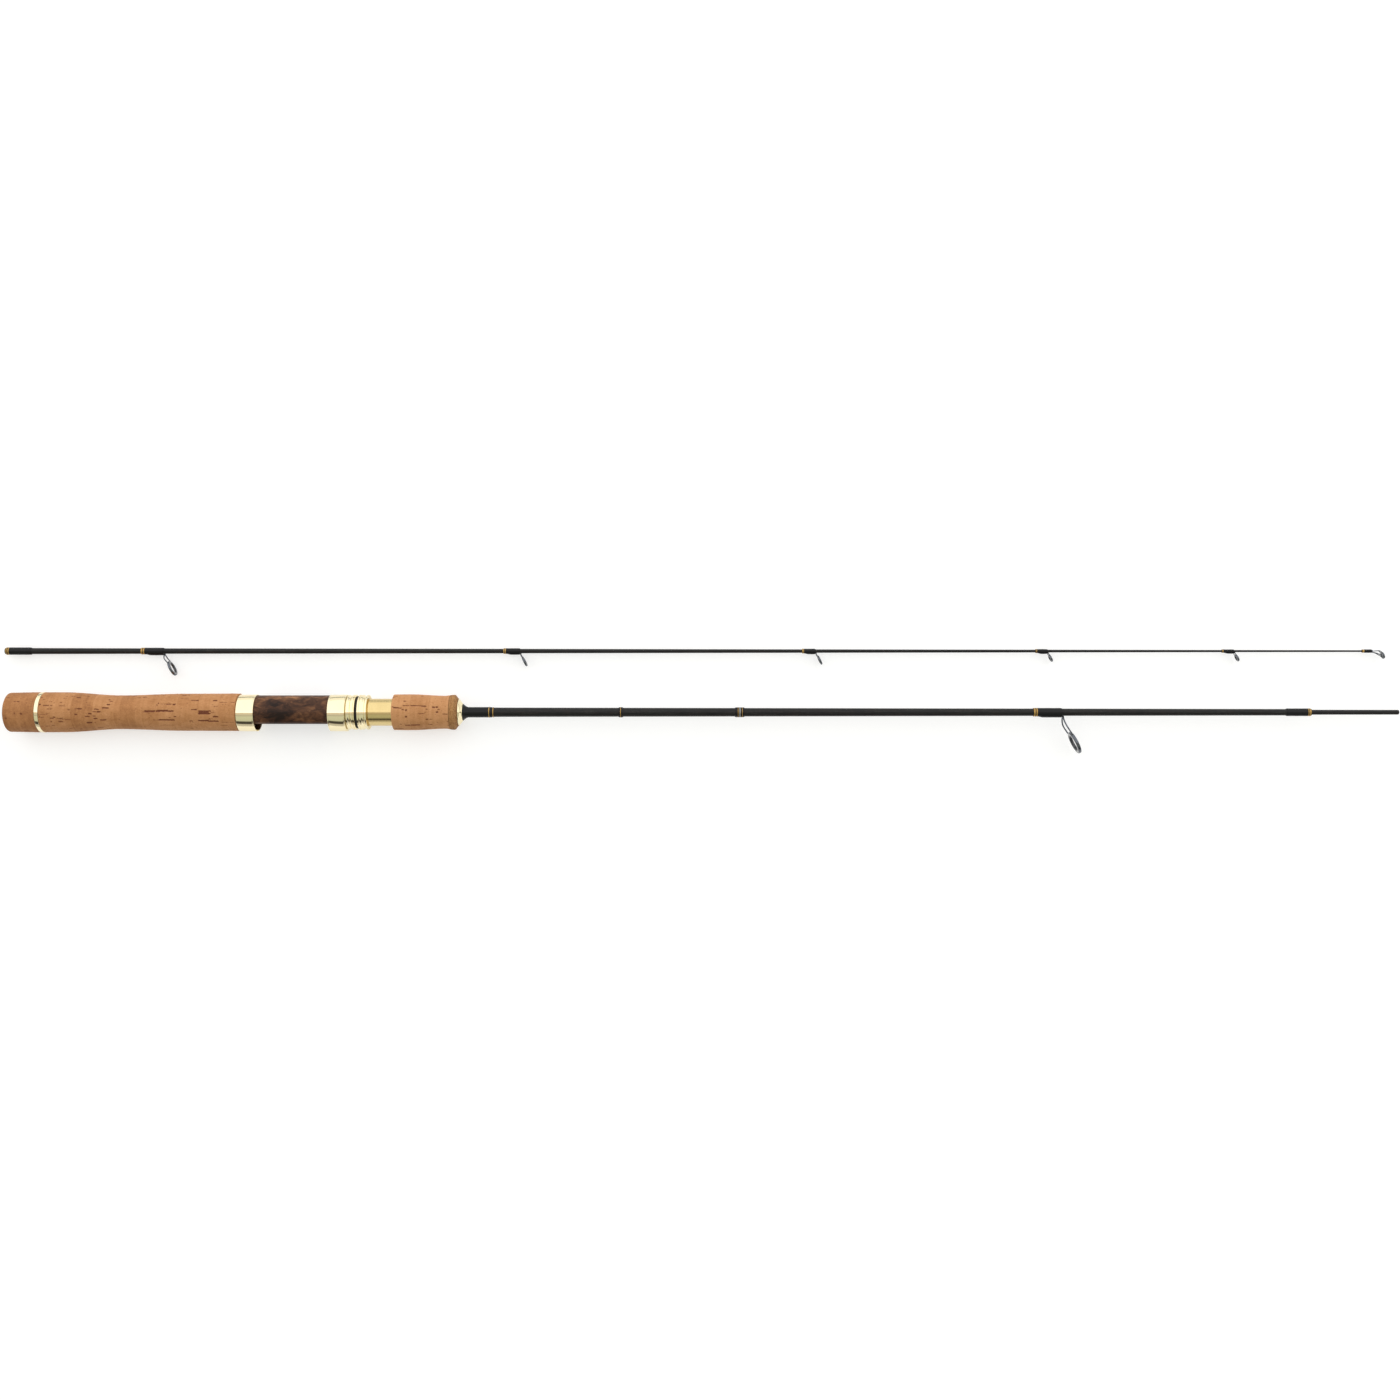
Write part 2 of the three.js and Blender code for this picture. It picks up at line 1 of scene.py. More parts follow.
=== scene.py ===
"""Looks of a two-piece spinning rod, laid down as two sections side by side.

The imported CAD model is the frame. Every CAD node that shows is replaced by a finer piece in the
same place, which rides on the same body. The seat's arbor is hidden and keeps its CAD mesh.
Lengths in this file are millimetres along a section from the butt end and across from that
section's axis, unless a name says otherwise.
"""
import json
import math
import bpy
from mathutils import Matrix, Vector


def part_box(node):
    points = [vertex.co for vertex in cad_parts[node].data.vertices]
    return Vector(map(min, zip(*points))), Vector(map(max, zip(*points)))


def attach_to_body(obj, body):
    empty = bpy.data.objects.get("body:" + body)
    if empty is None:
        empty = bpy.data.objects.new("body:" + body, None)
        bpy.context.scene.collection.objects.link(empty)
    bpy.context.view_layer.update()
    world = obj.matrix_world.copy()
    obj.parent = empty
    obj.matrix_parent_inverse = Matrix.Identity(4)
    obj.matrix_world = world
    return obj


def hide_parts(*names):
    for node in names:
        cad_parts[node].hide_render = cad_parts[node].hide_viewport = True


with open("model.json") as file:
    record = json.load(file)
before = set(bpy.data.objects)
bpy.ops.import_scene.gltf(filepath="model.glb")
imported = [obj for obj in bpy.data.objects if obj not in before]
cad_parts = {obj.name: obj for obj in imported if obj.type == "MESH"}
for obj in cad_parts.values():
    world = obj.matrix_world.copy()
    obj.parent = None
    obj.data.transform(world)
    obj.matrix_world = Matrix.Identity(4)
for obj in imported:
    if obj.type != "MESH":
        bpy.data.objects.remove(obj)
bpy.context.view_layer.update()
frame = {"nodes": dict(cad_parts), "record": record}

import zlib

import bmesh
import bpy
import numpy as np
from mathutils import Matrix, Vector

MM = 0.001
TAU = 2 * math.pi
CAMERA_HEIGHT = 1.047  # metres
INSERT_RADIUS = 11.65
NODE_BODY = {n: b for b, ns in frame["record"]["behaviour"]["bodies"].items() for n in ns}
NODE_SLOT = {s["node"]: s["material_slot"] for s in frame["record"]["subparts"]}


def axis_of(node):
    """The row-frame point on a turned node's axis, at the butt end of the rod."""
    low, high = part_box(node)
    return Vector((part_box("butt_cap")[0].x, (low.y + high.y) / 2, (low.z + high.z) / 2))


BUTT = axis_of("butt_trim_ring")
TIP = axis_of("tip_blank")


def span(node):
    low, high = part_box(node)
    return (low.x - BUTT.x) / MM, (high.x - BUTT.x) / MM


def random_of(name):
    return np.random.default_rng(zlib.crc32(name.encode()))


def smoothstep(a, b, x):
    t = np.clip((np.asarray(x, float) - a) / (b - a), 0, 1)
    return t * t * (3 - 2 * t)


def straight(stations, x):
    xs, rs = zip(*stations)
    return np.interp(x, xs, rs)


def blended(stations, x):
    """The radius at x with each span between stations blended by an S-curve."""
    xs, rs = (np.array(v, float) for v in zip(*stations))
    x = np.clip(np.asarray(x, float), xs[0], xs[-1])
    i = np.clip(np.searchsorted(xs, x), 1, len(xs) - 1)
    t = (x - xs[i - 1]) / (xs[i] - xs[i - 1])
    return rs[i - 1] + (rs[i] - rs[i - 1]) * t * t * (3 - 2 * t)


# ------------------------------------------------------------------ colours and shader graphs


def srgb(r, g, b):
    def linear(v):
        v /= 255
        return v / 12.92 if v <= 0.04045 else ((v + 0.055) / 1.055) ** 2.4

    return linear(r), linear(g), linear(b), 1.0


def on_seat(x, degrees):
    """A point on the wooden insert, in the row frame: x mm along it, degrees from the top towards -Y."""
    a, radius = math.radians(degrees), INSERT_RADIUS * MM
    return BUTT.x + x * MM, BUTT.y - radius * math.sin(a), BUTT.z + radius * math.cos(a)


class Graph:
    """A material's node tree, with short calls to add nodes to it."""

    def __init__(self, name):
        self.material = bpy.data.materials.new(name)
        self.material.use_nodes = True
        self.tree = self.material.node_tree
        self.tree.nodes.clear()
        self.shader = self.add("ShaderNodeBsdfPrincipled")
        output = self.add("ShaderNodeOutputMaterial")
        self.tree.links.new(self.shader.outputs[0], output.inputs["Surface"])
        self.coords = self.add("ShaderNodeTexCoord").outputs["Object"]

    def add(self, kind, **settings):
        node = self.tree.nodes.new(kind)
        for key, value in settings.items():
            setattr(node, key, value)
        return node

    def put(self, socket, value):
        if isinstance(value, bpy.types.NodeSocket):
            self.tree.links.new(value, socket)
        else:
            socket.default_value = value

    def set(self, **values):
        names = {
            "base": "Base Color", "metal": "Metallic", "rough": "Roughness", "normal": "Normal",
            "coat": "Coat Weight", "coat_rough": "Coat Roughness", "spec": "Specular IOR Level",
        }
        for key, value in values.items():
            self.put(self.shader.inputs[names[key]], value)
        return self.material

    def scaled(self, x, y, z, offset=(0, 0, 0)):
        """Object coordinates in millimetres, divided by a size along each axis."""
        node = self.add("ShaderNodeMapping")
        node.inputs["Scale"].default_value = (1 / (x * MM), 1 / (y * MM), 1 / (z * MM))
        node.inputs["Location"].default_value = offset
        self.put(node.inputs["Vector"], self.coords)
        return node.outputs[0]

    def noise(self, where, detail, rough=0.55, distort=0.0, output="Fac"):
        node = self.add("ShaderNodeTexNoise")
        self.put(node.inputs["Vector"], where)
        node.inputs["Scale"].default_value = 1.0
        node.inputs["Detail"].default_value = detail
        node.inputs["Roughness"].default_value = rough
        node.inputs["Distortion"].default_value = distort
        return node.outputs[output]

    def near(self, x, y, z, reach_mm):
        """1 at a point of the row frame (metres), falling to 0 at reach_mm from it."""
        away = self.add("ShaderNodeVectorMath", operation="DISTANCE")
        self.put(away.inputs[0], self.coords)
        away.inputs[1].default_value = (x, y, z)
        node = self.add("ShaderNodeMapRange", interpolation_type="SMOOTHSTEP")
        self.put(node.inputs["Value"], away.outputs["Value"])
        node.inputs["From Min"].default_value = 0.15 * reach_mm * MM
        node.inputs["From Max"].default_value = reach_mm * MM
        node.inputs["To Min"].default_value = 1.0
        node.inputs["To Max"].default_value = 0.0
        return node.outputs[0]

    def cells(self, where, output="Distance"):
        node = self.add("ShaderNodeTexVoronoi")
        self.put(node.inputs["Vector"], where)
        node.inputs["Scale"].default_value = 1.0
        return node.outputs[output]

    def ramp(self, factor, *stops):
        """Colour or grey stops as (position, value)."""
        node = self.add("ShaderNodeValToRGB")
        self.put(node.inputs[0], factor)
        elements = node.color_ramp.elements
        while len(elements) < len(stops):
            elements.new(0.5)
        for element, (position, value) in zip(elements, stops):
            element.position = position
            element.color = value if isinstance(value, tuple) else (value, value, value, 1)
        return node.outputs[0]

    def mix(self, factor, a, b):
        node = self.add("ShaderNodeMix", data_type="RGBA")
        self.put(node.inputs[0], factor)
        self.put(node.inputs[6], a)
        self.put(node.inputs[7], b)
        return node.outputs[2]

    def math(self, kind, a, b=0.0, clamp=False):
        node = self.add("ShaderNodeMath", operation=kind, use_clamp=clamp)
        self.put(node.inputs[0], a)
        self.put(node.inputs[1], b)
        return node.outputs[0]

    def total(self, *terms):
        """The sum of values, each times its weight."""
        products = [self.math("MULTIPLY", value, weight) for value, weight in terms]
        result = products[0]
        for product in products[1:]:
            result = self.math("ADD", result, product)
        return result

    def remap(self, value, low, high):
        node = self.add("ShaderNodeMapRange")
        self.put(node.inputs["Value"], value)
        node.inputs["To Min"].default_value = low
        node.inputs["To Max"].default_value = high
        return node.outputs[0]

    def stripes(self, pitch):
        """Waves along X, one to each pitch. The texture goes through 20 radians in a unit."""
        node = self.add("ShaderNodeTexWave", wave_type="BANDS", bands_direction="X")
        self.put(node.inputs["Vector"], self.scaled(pitch, 1000, 1000))
        node.inputs["Scale"].default_value = TAU / 20
        return node.outputs["Fac"]

    def attribute(self, name):
        node = self.add("ShaderNodeAttribute", attribute_name=name)
        split = self.add("ShaderNodeSeparateColor")
        self.put(split.inputs[0], node.outputs["Color"])
        return split.outputs

    def bump(self, height, depth_mm, strength=1.0, under=None):
        node = self.add("ShaderNodeBump")
        node.inputs["Strength"].default_value = strength
        node.inputs["Distance"].default_value = depth_mm * MM
        self.put(node.inputs["Height"], height)
        if under is not None:
            self.put(node.inputs["Normal"], under)
        return node.outputs[0]


def cork_material(name, light, middle, dark, pit, speckle=0.0):
    """Natural cork. The mesh says where its pores are (red), its ring's tone (green) and seams (blue)."""
    g = Graph(name)
    pores, tone, seam = g.attribute("cork")[:3]
    cloud = g.noise(g.scaled(9, 5, 5), 3, 0.6)
    growth = g.noise(g.scaled(2.4, 26, 26), 2, 0.5, 0.4)
    grain = g.noise(g.scaled(1.1, 0.7, 0.7), 4, 0.7)
    strand = g.noise(g.scaled(3.2, 0.45, 0.45), 3, 0.6, 0.6)
    paler = g.math("SUBTRACT", tone, 0.5)
    tint = g.total((cloud, 0.36), (grain, 0.36), (growth, 0.26), (paler, 0.22))
    color = g.ramp(tint, (0.30, dark), (0.48, middle), (0.68, light))
    streak = g.ramp(strand, (0.58, 0.0), (0.72, 1.0))
    color = g.mix(g.math("MULTIPLY", streak, 0.3), color, dark)
    if speckle:
        chips = g.ramp(g.cells(g.scaled(0.8, 0.8, 0.8), output="Color"), (0.25, 0.0), (0.75, 1.0))
        color = g.mix(g.math("MULTIPLY", chips, speckle), color, light)
        flecks = g.ramp(g.noise(g.scaled(0.7, 0.7, 0.7), 2), (0.55, 0.0), (0.66, 1.0))
        color = g.mix(g.math("MULTIPLY", flecks, 0.45), color, pit)
    fleck = g.ramp(g.noise(g.scaled(0.9, 0.35, 0.35), 2, 0.6), (0.64, 0.0), (0.72, 0.8))
    color = g.mix(fleck, color, pit)
    color = g.mix(g.math("MULTIPLY", seam, 0.35), color, dark)
    color = g.mix(g.math("MULTIPLY", pores, 1.8, clamp=True), color, pit)
    rough = g.remap(grain, 0.62, 0.86)
    normal = g.bump(grain, 0.05, 0.7, g.bump(strand, 0.06, 0.5))
    return g.set(base=color, rough=rough, normal=normal, spec=0.32)


def metal_material(name, color, tarnish, rough, turning, line_mm=0.11):
    """Anodised or bare metal with fine turning marks round the X axis and a few smudges."""
    g = Graph(name)
    marks = g.noise(g.scaled(line_mm, 30, 30), 2, 0.7)
    smudge = g.noise(g.scaled(7, 7, 7), 3, 0.6)
    worn = g.noise(g.scaled(1.6, 3, 3), 4, 0.65)
    base = g.mix(g.ramp(smudge, (0.35, 0.0), (0.8, 0.5)), color, tarnish)
    roughness = g.total((g.remap(worn, rough * 0.7, rough * 1.35), 1), (smudge, 0.05))
    normal = g.bump(marks, turning, 1.0)
    return g.set(base=base, metal=1.0, rough=roughness, normal=normal)


def burl_material():
    """Dark burl under satin lacquer: a dark heart on the left, a pale eye and slanting figure, and a
    painted sheen along the +Y side.
    """
    g = Graph("burl_wood")
    shifted = g.add("ShaderNodeVectorMath", operation="MULTIPLY_ADD")
    g.put(shifted.inputs[0], g.noise(g.scaled(9, 6, 6), 3, 0.5, output="Color"))
    shifted.inputs[1].default_value = (1.2, 1.7, 1.7)
    g.put(shifted.inputs[2], g.scaled(9, 5, 5))
    figure = g.noise(shifted.outputs[0], 5, 0.6, 1.0)
    rays = g.noise(g.scaled(5.0, 1.3, 1.3), 4, 0.65, 2.2)
    fine = g.noise(g.scaled(1.2, 0.35, 0.35), 3, 0.65, 0.8)
    # the places where the wood is darker or paler, in its figure and in a painted sheen: x, degrees from
    # the top, reach, weight
    figure_and_sheen_zones = [(187, 12, 15, -0.13), (190, -46, 4.5, 0.13), (173, -30, 9, 0.09), (213, -8, 15, 0.05)]
    # painted sheen: a paler band along the +Y side, where the softbox's highlight falls on the lacquer
    figure_and_sheen_zones += [(x, -72, 11, 0.09) for x in (166, 182, 198, 214)]
    tint = g.total((figure, 0.74), (rays, 0.24), (fine, 0.10), *(
        (g.near(*on_seat(x, degrees), reach), weight) for x, degrees, reach, weight in figure_and_sheen_zones))
    color = g.ramp(
        tint, (0.38, srgb(31, 18, 12)), (0.47, srgb(53, 32, 21)), (0.55, srgb(73, 46, 30)),
        (0.63, srgb(92, 60, 39)), (0.72, srgb(122, 83, 54)), (0.82, srgb(162, 115, 76)),
    )
    normal = g.bump(rays, 0.02, 0.5)
    return g.set(
        base=color, rough=g.remap(rays, 0.42, 0.6), normal=normal, spec=0.14, coat=0.1,
        coat_rough=0.2)


def blank_material():
    """Clear-coated graphite: fine fibres along the blank, and the faint turns of the wrapping tape."""
    g = Graph("blank")
    fibre = g.noise(g.scaled(14, 0.28, 0.28), 3, 0.6)
    speck = g.noise(g.scaled(1.2, 0.5, 0.5), 3, 0.7)
    tape = g.noise(g.scaled(1.9, 40, 40), 1, 0.4)
    tint = g.total((fibre, 0.6), (speck, 0.4))
    color = g.ramp(tint, (0.34, srgb(12, 12, 13)), (0.52, srgb(23, 23, 23)), (0.68, srgb(60, 59, 55)))
    cast = g.noise(g.scaled(5, 1.1, 1.1, (40, 0, 0)), 2, 0.6)
    color = g.mix(g.ramp(cast, (0.5, 0.0), (0.66, 0.35)), color, srgb(42, 30, 26))
    normal = g.bump(tape, 0.018, 0.8, g.bump(fibre, 0.01, 0.5))
    return g.set(
        base=color, rough=g.remap(speck, 0.26, 0.42), normal=normal, spec=0.22)


def thread_material(name, color, shade, metal=0.0, rough=0.45):
    """Wound thread under clear epoxy, with painted shade in the grooves between its turns."""
    g = Graph(name)
    turns = g.stripes(0.19)
    lustre = g.noise(g.scaled(0.5, 1.4, 1.4), 3, 0.6)
    # painted shade: the grooves between the turns take the darker shade colour, and the lustre noise
    # darkens the thread towards it in patches
    base = g.mix(g.ramp(turns, (0.15, 0.0), (0.7, 1.0)), shade, color)
    base = g.mix(g.math("MULTIPLY", lustre, 0.3), base, shade)
    ripple = g.noise(g.scaled(2.2, 1.6, 1.6), 2, 0.5)
    normal = g.bump(turns, 0.012, 0.6, g.bump(ripple, 0.05, 0.5))
    return g.set(
        base=base, metal=metal, rough=g.remap(lustre, rough * 0.8, rough * 1.2), normal=normal,
        spec=0.1, coat=0.25, coat_rough=0.06)


def rubber_material():
    g = Graph("black_rubber")
    dust = g.noise(g.scaled(2.5, 2.5, 2.5), 4, 0.7)
    fine = g.noise(g.scaled(0.18, 0.18, 0.18), 2, 0.6)
    color = g.ramp(dust, (0.35, srgb(17, 16, 16)), (0.75, srgb(38, 36, 35)))
    return g.set(
        base=color, rough=g.remap(fine, 0.5, 0.72), normal=g.bump(fine, 0.03, 0.8), spec=0.35)


def ceramic_material():
    g = Graph("ceramic")
    cloud = g.noise(g.scaled(1.6, 1.6, 1.6), 3, 0.6)
    fine = g.noise(g.scaled(0.25, 0.25, 0.25), 2, 0.5)
    color = g.ramp(cloud, (0.3, srgb(15, 17, 25)), (0.7, srgb(34, 38, 50)))
    return g.set(
        base=color, rough=g.remap(fine, 0.10, 0.2), normal=g.bump(fine, 0.004, 0.5), coat=0.7,
        coat_rough=0.05)


def foam_material():
    g = Graph("arbor_foam")
    cells = g.cells(g.scaled(0.6, 0.6, 0.6))
    color = g.ramp(cells, (0.1, srgb(88, 88, 86)), (0.6, srgb(140, 140, 137)))
    return g.set(base=color, rough=g.remap(cells, 0.75, 0.95), normal=g.bump(cells, 0.1, 0.8))


def epoxy_material():
    """Clear epoxy over a dark foot: nearly black, and very glossy."""
    g = Graph("epoxy_fillet")
    cloud = g.noise(g.scaled(1.5, 1.2, 1.2), 2, 0.5)
    color = g.ramp(cloud, (0.3, srgb(13, 13, 14)), (0.7, srgb(28, 28, 29)))
    return g.set(
        base=color, rough=g.remap(cloud, 0.12, 0.25), normal=g.bump(cloud, 0.06, 0.6), spec=0.3,
        coat=0.25, coat_rough=0.04)


PIT = srgb(98, 47, 22)
MATERIALS = {
    "cork": cork_material(
        "cork", srgb(195, 142, 95), srgb(172, 119, 73), srgb(142, 92, 52), PIT),
    "composite_cork": cork_material(
        "composite_cork", srgb(182, 137, 86), srgb(150, 106, 60), srgb(118, 79, 42),
        srgb(84, 50, 24), 0.55),
    "polished_gold": metal_material(
        "polished_gold", (0.90, 0.79, 0.52, 1), (0.86, 0.74, 0.47, 1), 0.055, 0.0006),
    "satin_gold": metal_material(
        "satin_gold", (0.68, 0.53, 0.25, 1), (0.60, 0.45, 0.20, 1), 0.17, 0.003, 0.2),
    "burl_wood": burl_material(),
    "arbor_foam": foam_material(),
    "black_rubber": rubber_material(),
    "blank": blank_material(),
    "black_thread": thread_material("black_thread", srgb(22, 22, 24), srgb(8, 8, 9)),
    "gold_thread": thread_material(
        "gold_thread", srgb(214, 176, 102), srgb(120, 84, 36), metal=0.7, rough=0.35),
    "silver_thread": thread_material(
        "silver_thread", srgb(200, 200, 196), srgb(130, 130, 128), metal=0.4, rough=0.35),
    "guide_metal": metal_material(
        "guide_metal", (0.13, 0.14, 0.16, 1), (0.08, 0.09, 0.10, 1), 0.12, 0.001),
    "ceramic": ceramic_material(),
    "epoxy": epoxy_material(),
}

# ------------------------------------------------------------------ meshes


def ring_of(x, radius, segments, drop=0.0):
    """One ring of points about a section's axis. Angle 0 is +Y, a quarter turn is +Z."""
    a = np.arange(segments) * TAU / segments
    return np.column_stack([np.full(segments, x), -drop + radius * np.cos(a), radius * np.sin(a)])


def lofted(rings, closed=True):
    """Vertices and quads through a list of equal rings. Closed joins the last ring to the first."""
    count, segments = len(rings), len(rings[0])
    grid = np.arange(count * segments).reshape(count, segments)
    if closed:
        grid = np.vstack([grid, grid[:1]])
    across = np.roll(grid, -1, axis=1)
    quads = np.stack([grid[:-1], grid[1:], across[1:], across[:-1]], axis=-1).reshape(-1, 4)
    return np.vstack(rings), quads


def turned(loop, segments):
    """A closed body round the X axis from a closed outline of (x, radius) or (x, radius, drop)."""
    return lofted([ring_of(s[0], s[1], segments, *s[2:]) for s in loop])


def cleaned(name, vertices, faces, origin):
    """A mesh in the row frame, its doubled points merged and its faces turned outwards."""
    mesh = bpy.data.meshes.new(name)
    placed = np.asarray(vertices, float) * MM + np.array(origin)
    mesh.from_pydata(placed.tolist(), [], [list(map(int, f)) for f in faces])
    work = bmesh.new()
    work.from_mesh(mesh)
    bmesh.ops.remove_doubles(work, verts=work.verts, dist=1e-7)
    bmesh.ops.recalc_face_normals(work, faces=work.faces)
    work.to_mesh(mesh)
    work.free()
    return mesh


def build(name, vertices, faces, node=None, origin=BUTT, material=None, slot=None, body=None,
          sharp=40):
    """Makes a piece from points in mm about a section's axis. It replaces node, if one is given."""
    mesh = cleaned(name, vertices, faces, origin)
    return finished(name, mesh, node, material, slot, body, sharp)


def finished(name, mesh, node, material=None, slot=None, body=None, sharp=0):
    """Shades the mesh, links it as an object, rides it on its body and gives it the given material, or the
    one of its slot.
    """
    mesh.shade_smooth()
    if sharp:
        mesh.set_sharp_from_angle(angle=math.radians(sharp))
    piece = bpy.data.objects.new(name, mesh)
    bpy.context.scene.collection.objects.link(piece)
    slot = slot or NODE_SLOT[node]
    mesh.materials.clear()
    mesh.materials.append(MATERIALS[material or slot])
    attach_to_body(piece, body or NODE_BODY[node])
    if node:
        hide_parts(node)
    return piece


def arc(cx, cr, radius, start, stop, steps=6):
    """Points of an outline's rounded corner. Angles in degrees, 0 along +x, 90 outwards."""
    return [
        (cx + radius * math.cos(math.radians(a)), cr + radius * math.sin(math.radians(a)))
        for a in np.linspace(start, stop, steps)
    ]


def rounded(x0, x1, base, top, lip, steps=6):
    """The outline of a band whose two outer edges are rounded."""
    rear = arc(x0 + lip, top - lip, lip, 180, 90, steps)
    front = arc(x1 - lip, top - lip, lip, 90, 0, steps)
    return [(x0, base)] + rear + front + [(x1, base)]


def fused(name, parts, voxel, node, origin=BUTT):
    """One continuous skin over several overlapping closed bodies, with a small fillet between them."""
    faces, start = [], 0
    for points, quads in parts:
        faces += [[int(i) + start for i in f] for f in quads]
        start += len(points)
    mesh = cleaned(name, np.vstack([points for points, _ in parts]), faces, origin)
    source = bpy.data.objects.new(name + "_source", mesh)
    bpy.context.scene.collection.objects.link(source)
    remesh = source.modifiers.new("skin", "REMESH")
    remesh.mode = "VOXEL"
    remesh.voxel_size = voxel * MM
    relax = source.modifiers.new("relax", "SMOOTH")
    relax.factor = 0.5
    relax.iterations = 3
    bpy.context.view_layer.update()
    result = bpy.data.meshes.new_from_object(
        source.evaluated_get(bpy.context.evaluated_depsgraph_get()))
    result.name = name
    bpy.data.objects.remove(source)
    bpy.data.meshes.remove(mesh)
    return finished(name, result, node)


def swept(points, widths, heights, sides, steps):
    """A closed rod of elliptical section along a smooth path. Widths run across, heights along Z."""
    points = np.asarray(points, float)
    knots = np.linspace(0, 1, len(points))
    t = np.linspace(0, 1, steps)
    path = np.column_stack([spline(knots, points[:, k], t) for k in range(3)])
    wide = np.interp(t, knots, widths)
    high = np.interp(t, knots, heights)
    along = np.gradient(path, axis=0)
    along /= np.linalg.norm(along, axis=1)[:, None]
    across = np.cross(along, (0.0, 0.0, 1.0))
    across /= np.linalg.norm(across, axis=1)[:, None]
    over = np.cross(across, along)
    a = np.arange(sides) * TAU / sides
    rings = [
        path[i] + np.outer(wide[i] * np.cos(a), across[i]) + np.outer(high[i] * np.sin(a), over[i])
        for i in range(steps)
    ]
    ends = [np.tile(path[0], (sides, 1)), np.tile(path[-1], (sides, 1))]
    return lofted([ends[0], *rings, ends[1]], closed=False)


def spline(knots, values, t):
    """A smooth curve through values at knots, flat enough not to overshoot."""
    slopes = np.gradient(values, knots)
    i = np.clip(np.searchsorted(knots, t, side="right") - 1, 0, len(knots) - 2)
    h = knots[i + 1] - knots[i]
    u = (t - knots[i]) / h
    return (
        (2 * u**3 - 3 * u**2 + 1) * values[i] + (u**3 - 2 * u**2 + u) * h * slopes[i]
        + (-2 * u**3 + 3 * u**2) * values[i + 1] + (u**3 - u**2) * h * slopes[i + 1]
    )


def raked(body, rake, cx, cy):
    """A ring turned about the X axis, leant forward by its rake and moved to its centre."""
    points, quads = body
    a = math.radians(rake)
    x, y = points[:, 0].copy(), points[:, 1].copy()
    moved = points.copy()
    moved[:, 0] = cx + x * math.cos(a) - y * math.sin(a)
    moved[:, 1] = cy + x * math.sin(a) + y * math.cos(a)
    return moved, quads


# ------------------------------------------------------------------ cork

BUTT_BLANK = [(5, 3.85), (896, 2.185)]
GRIP_SHAPE = [(0, 13.5), (22, 13.8), (38, 13.75), (77, 11.6), (120, 12.75), (159, 12.9)]
FORE_SHAPE = [(264, 12.25), (276, 12.35), (300, 11.35), (305.5, 12.05), (309, 12.05)]
CORK_STEP = 0.3
GLUE_GAP = 0.25
WRAP_GAP = 0.06


def butt_bore(x):
    return straight(BUTT_BLANK, x) + GLUE_GAP


def wrap_bore(blank, x):
    return float(straight(blank, x)) + WRAP_GAP


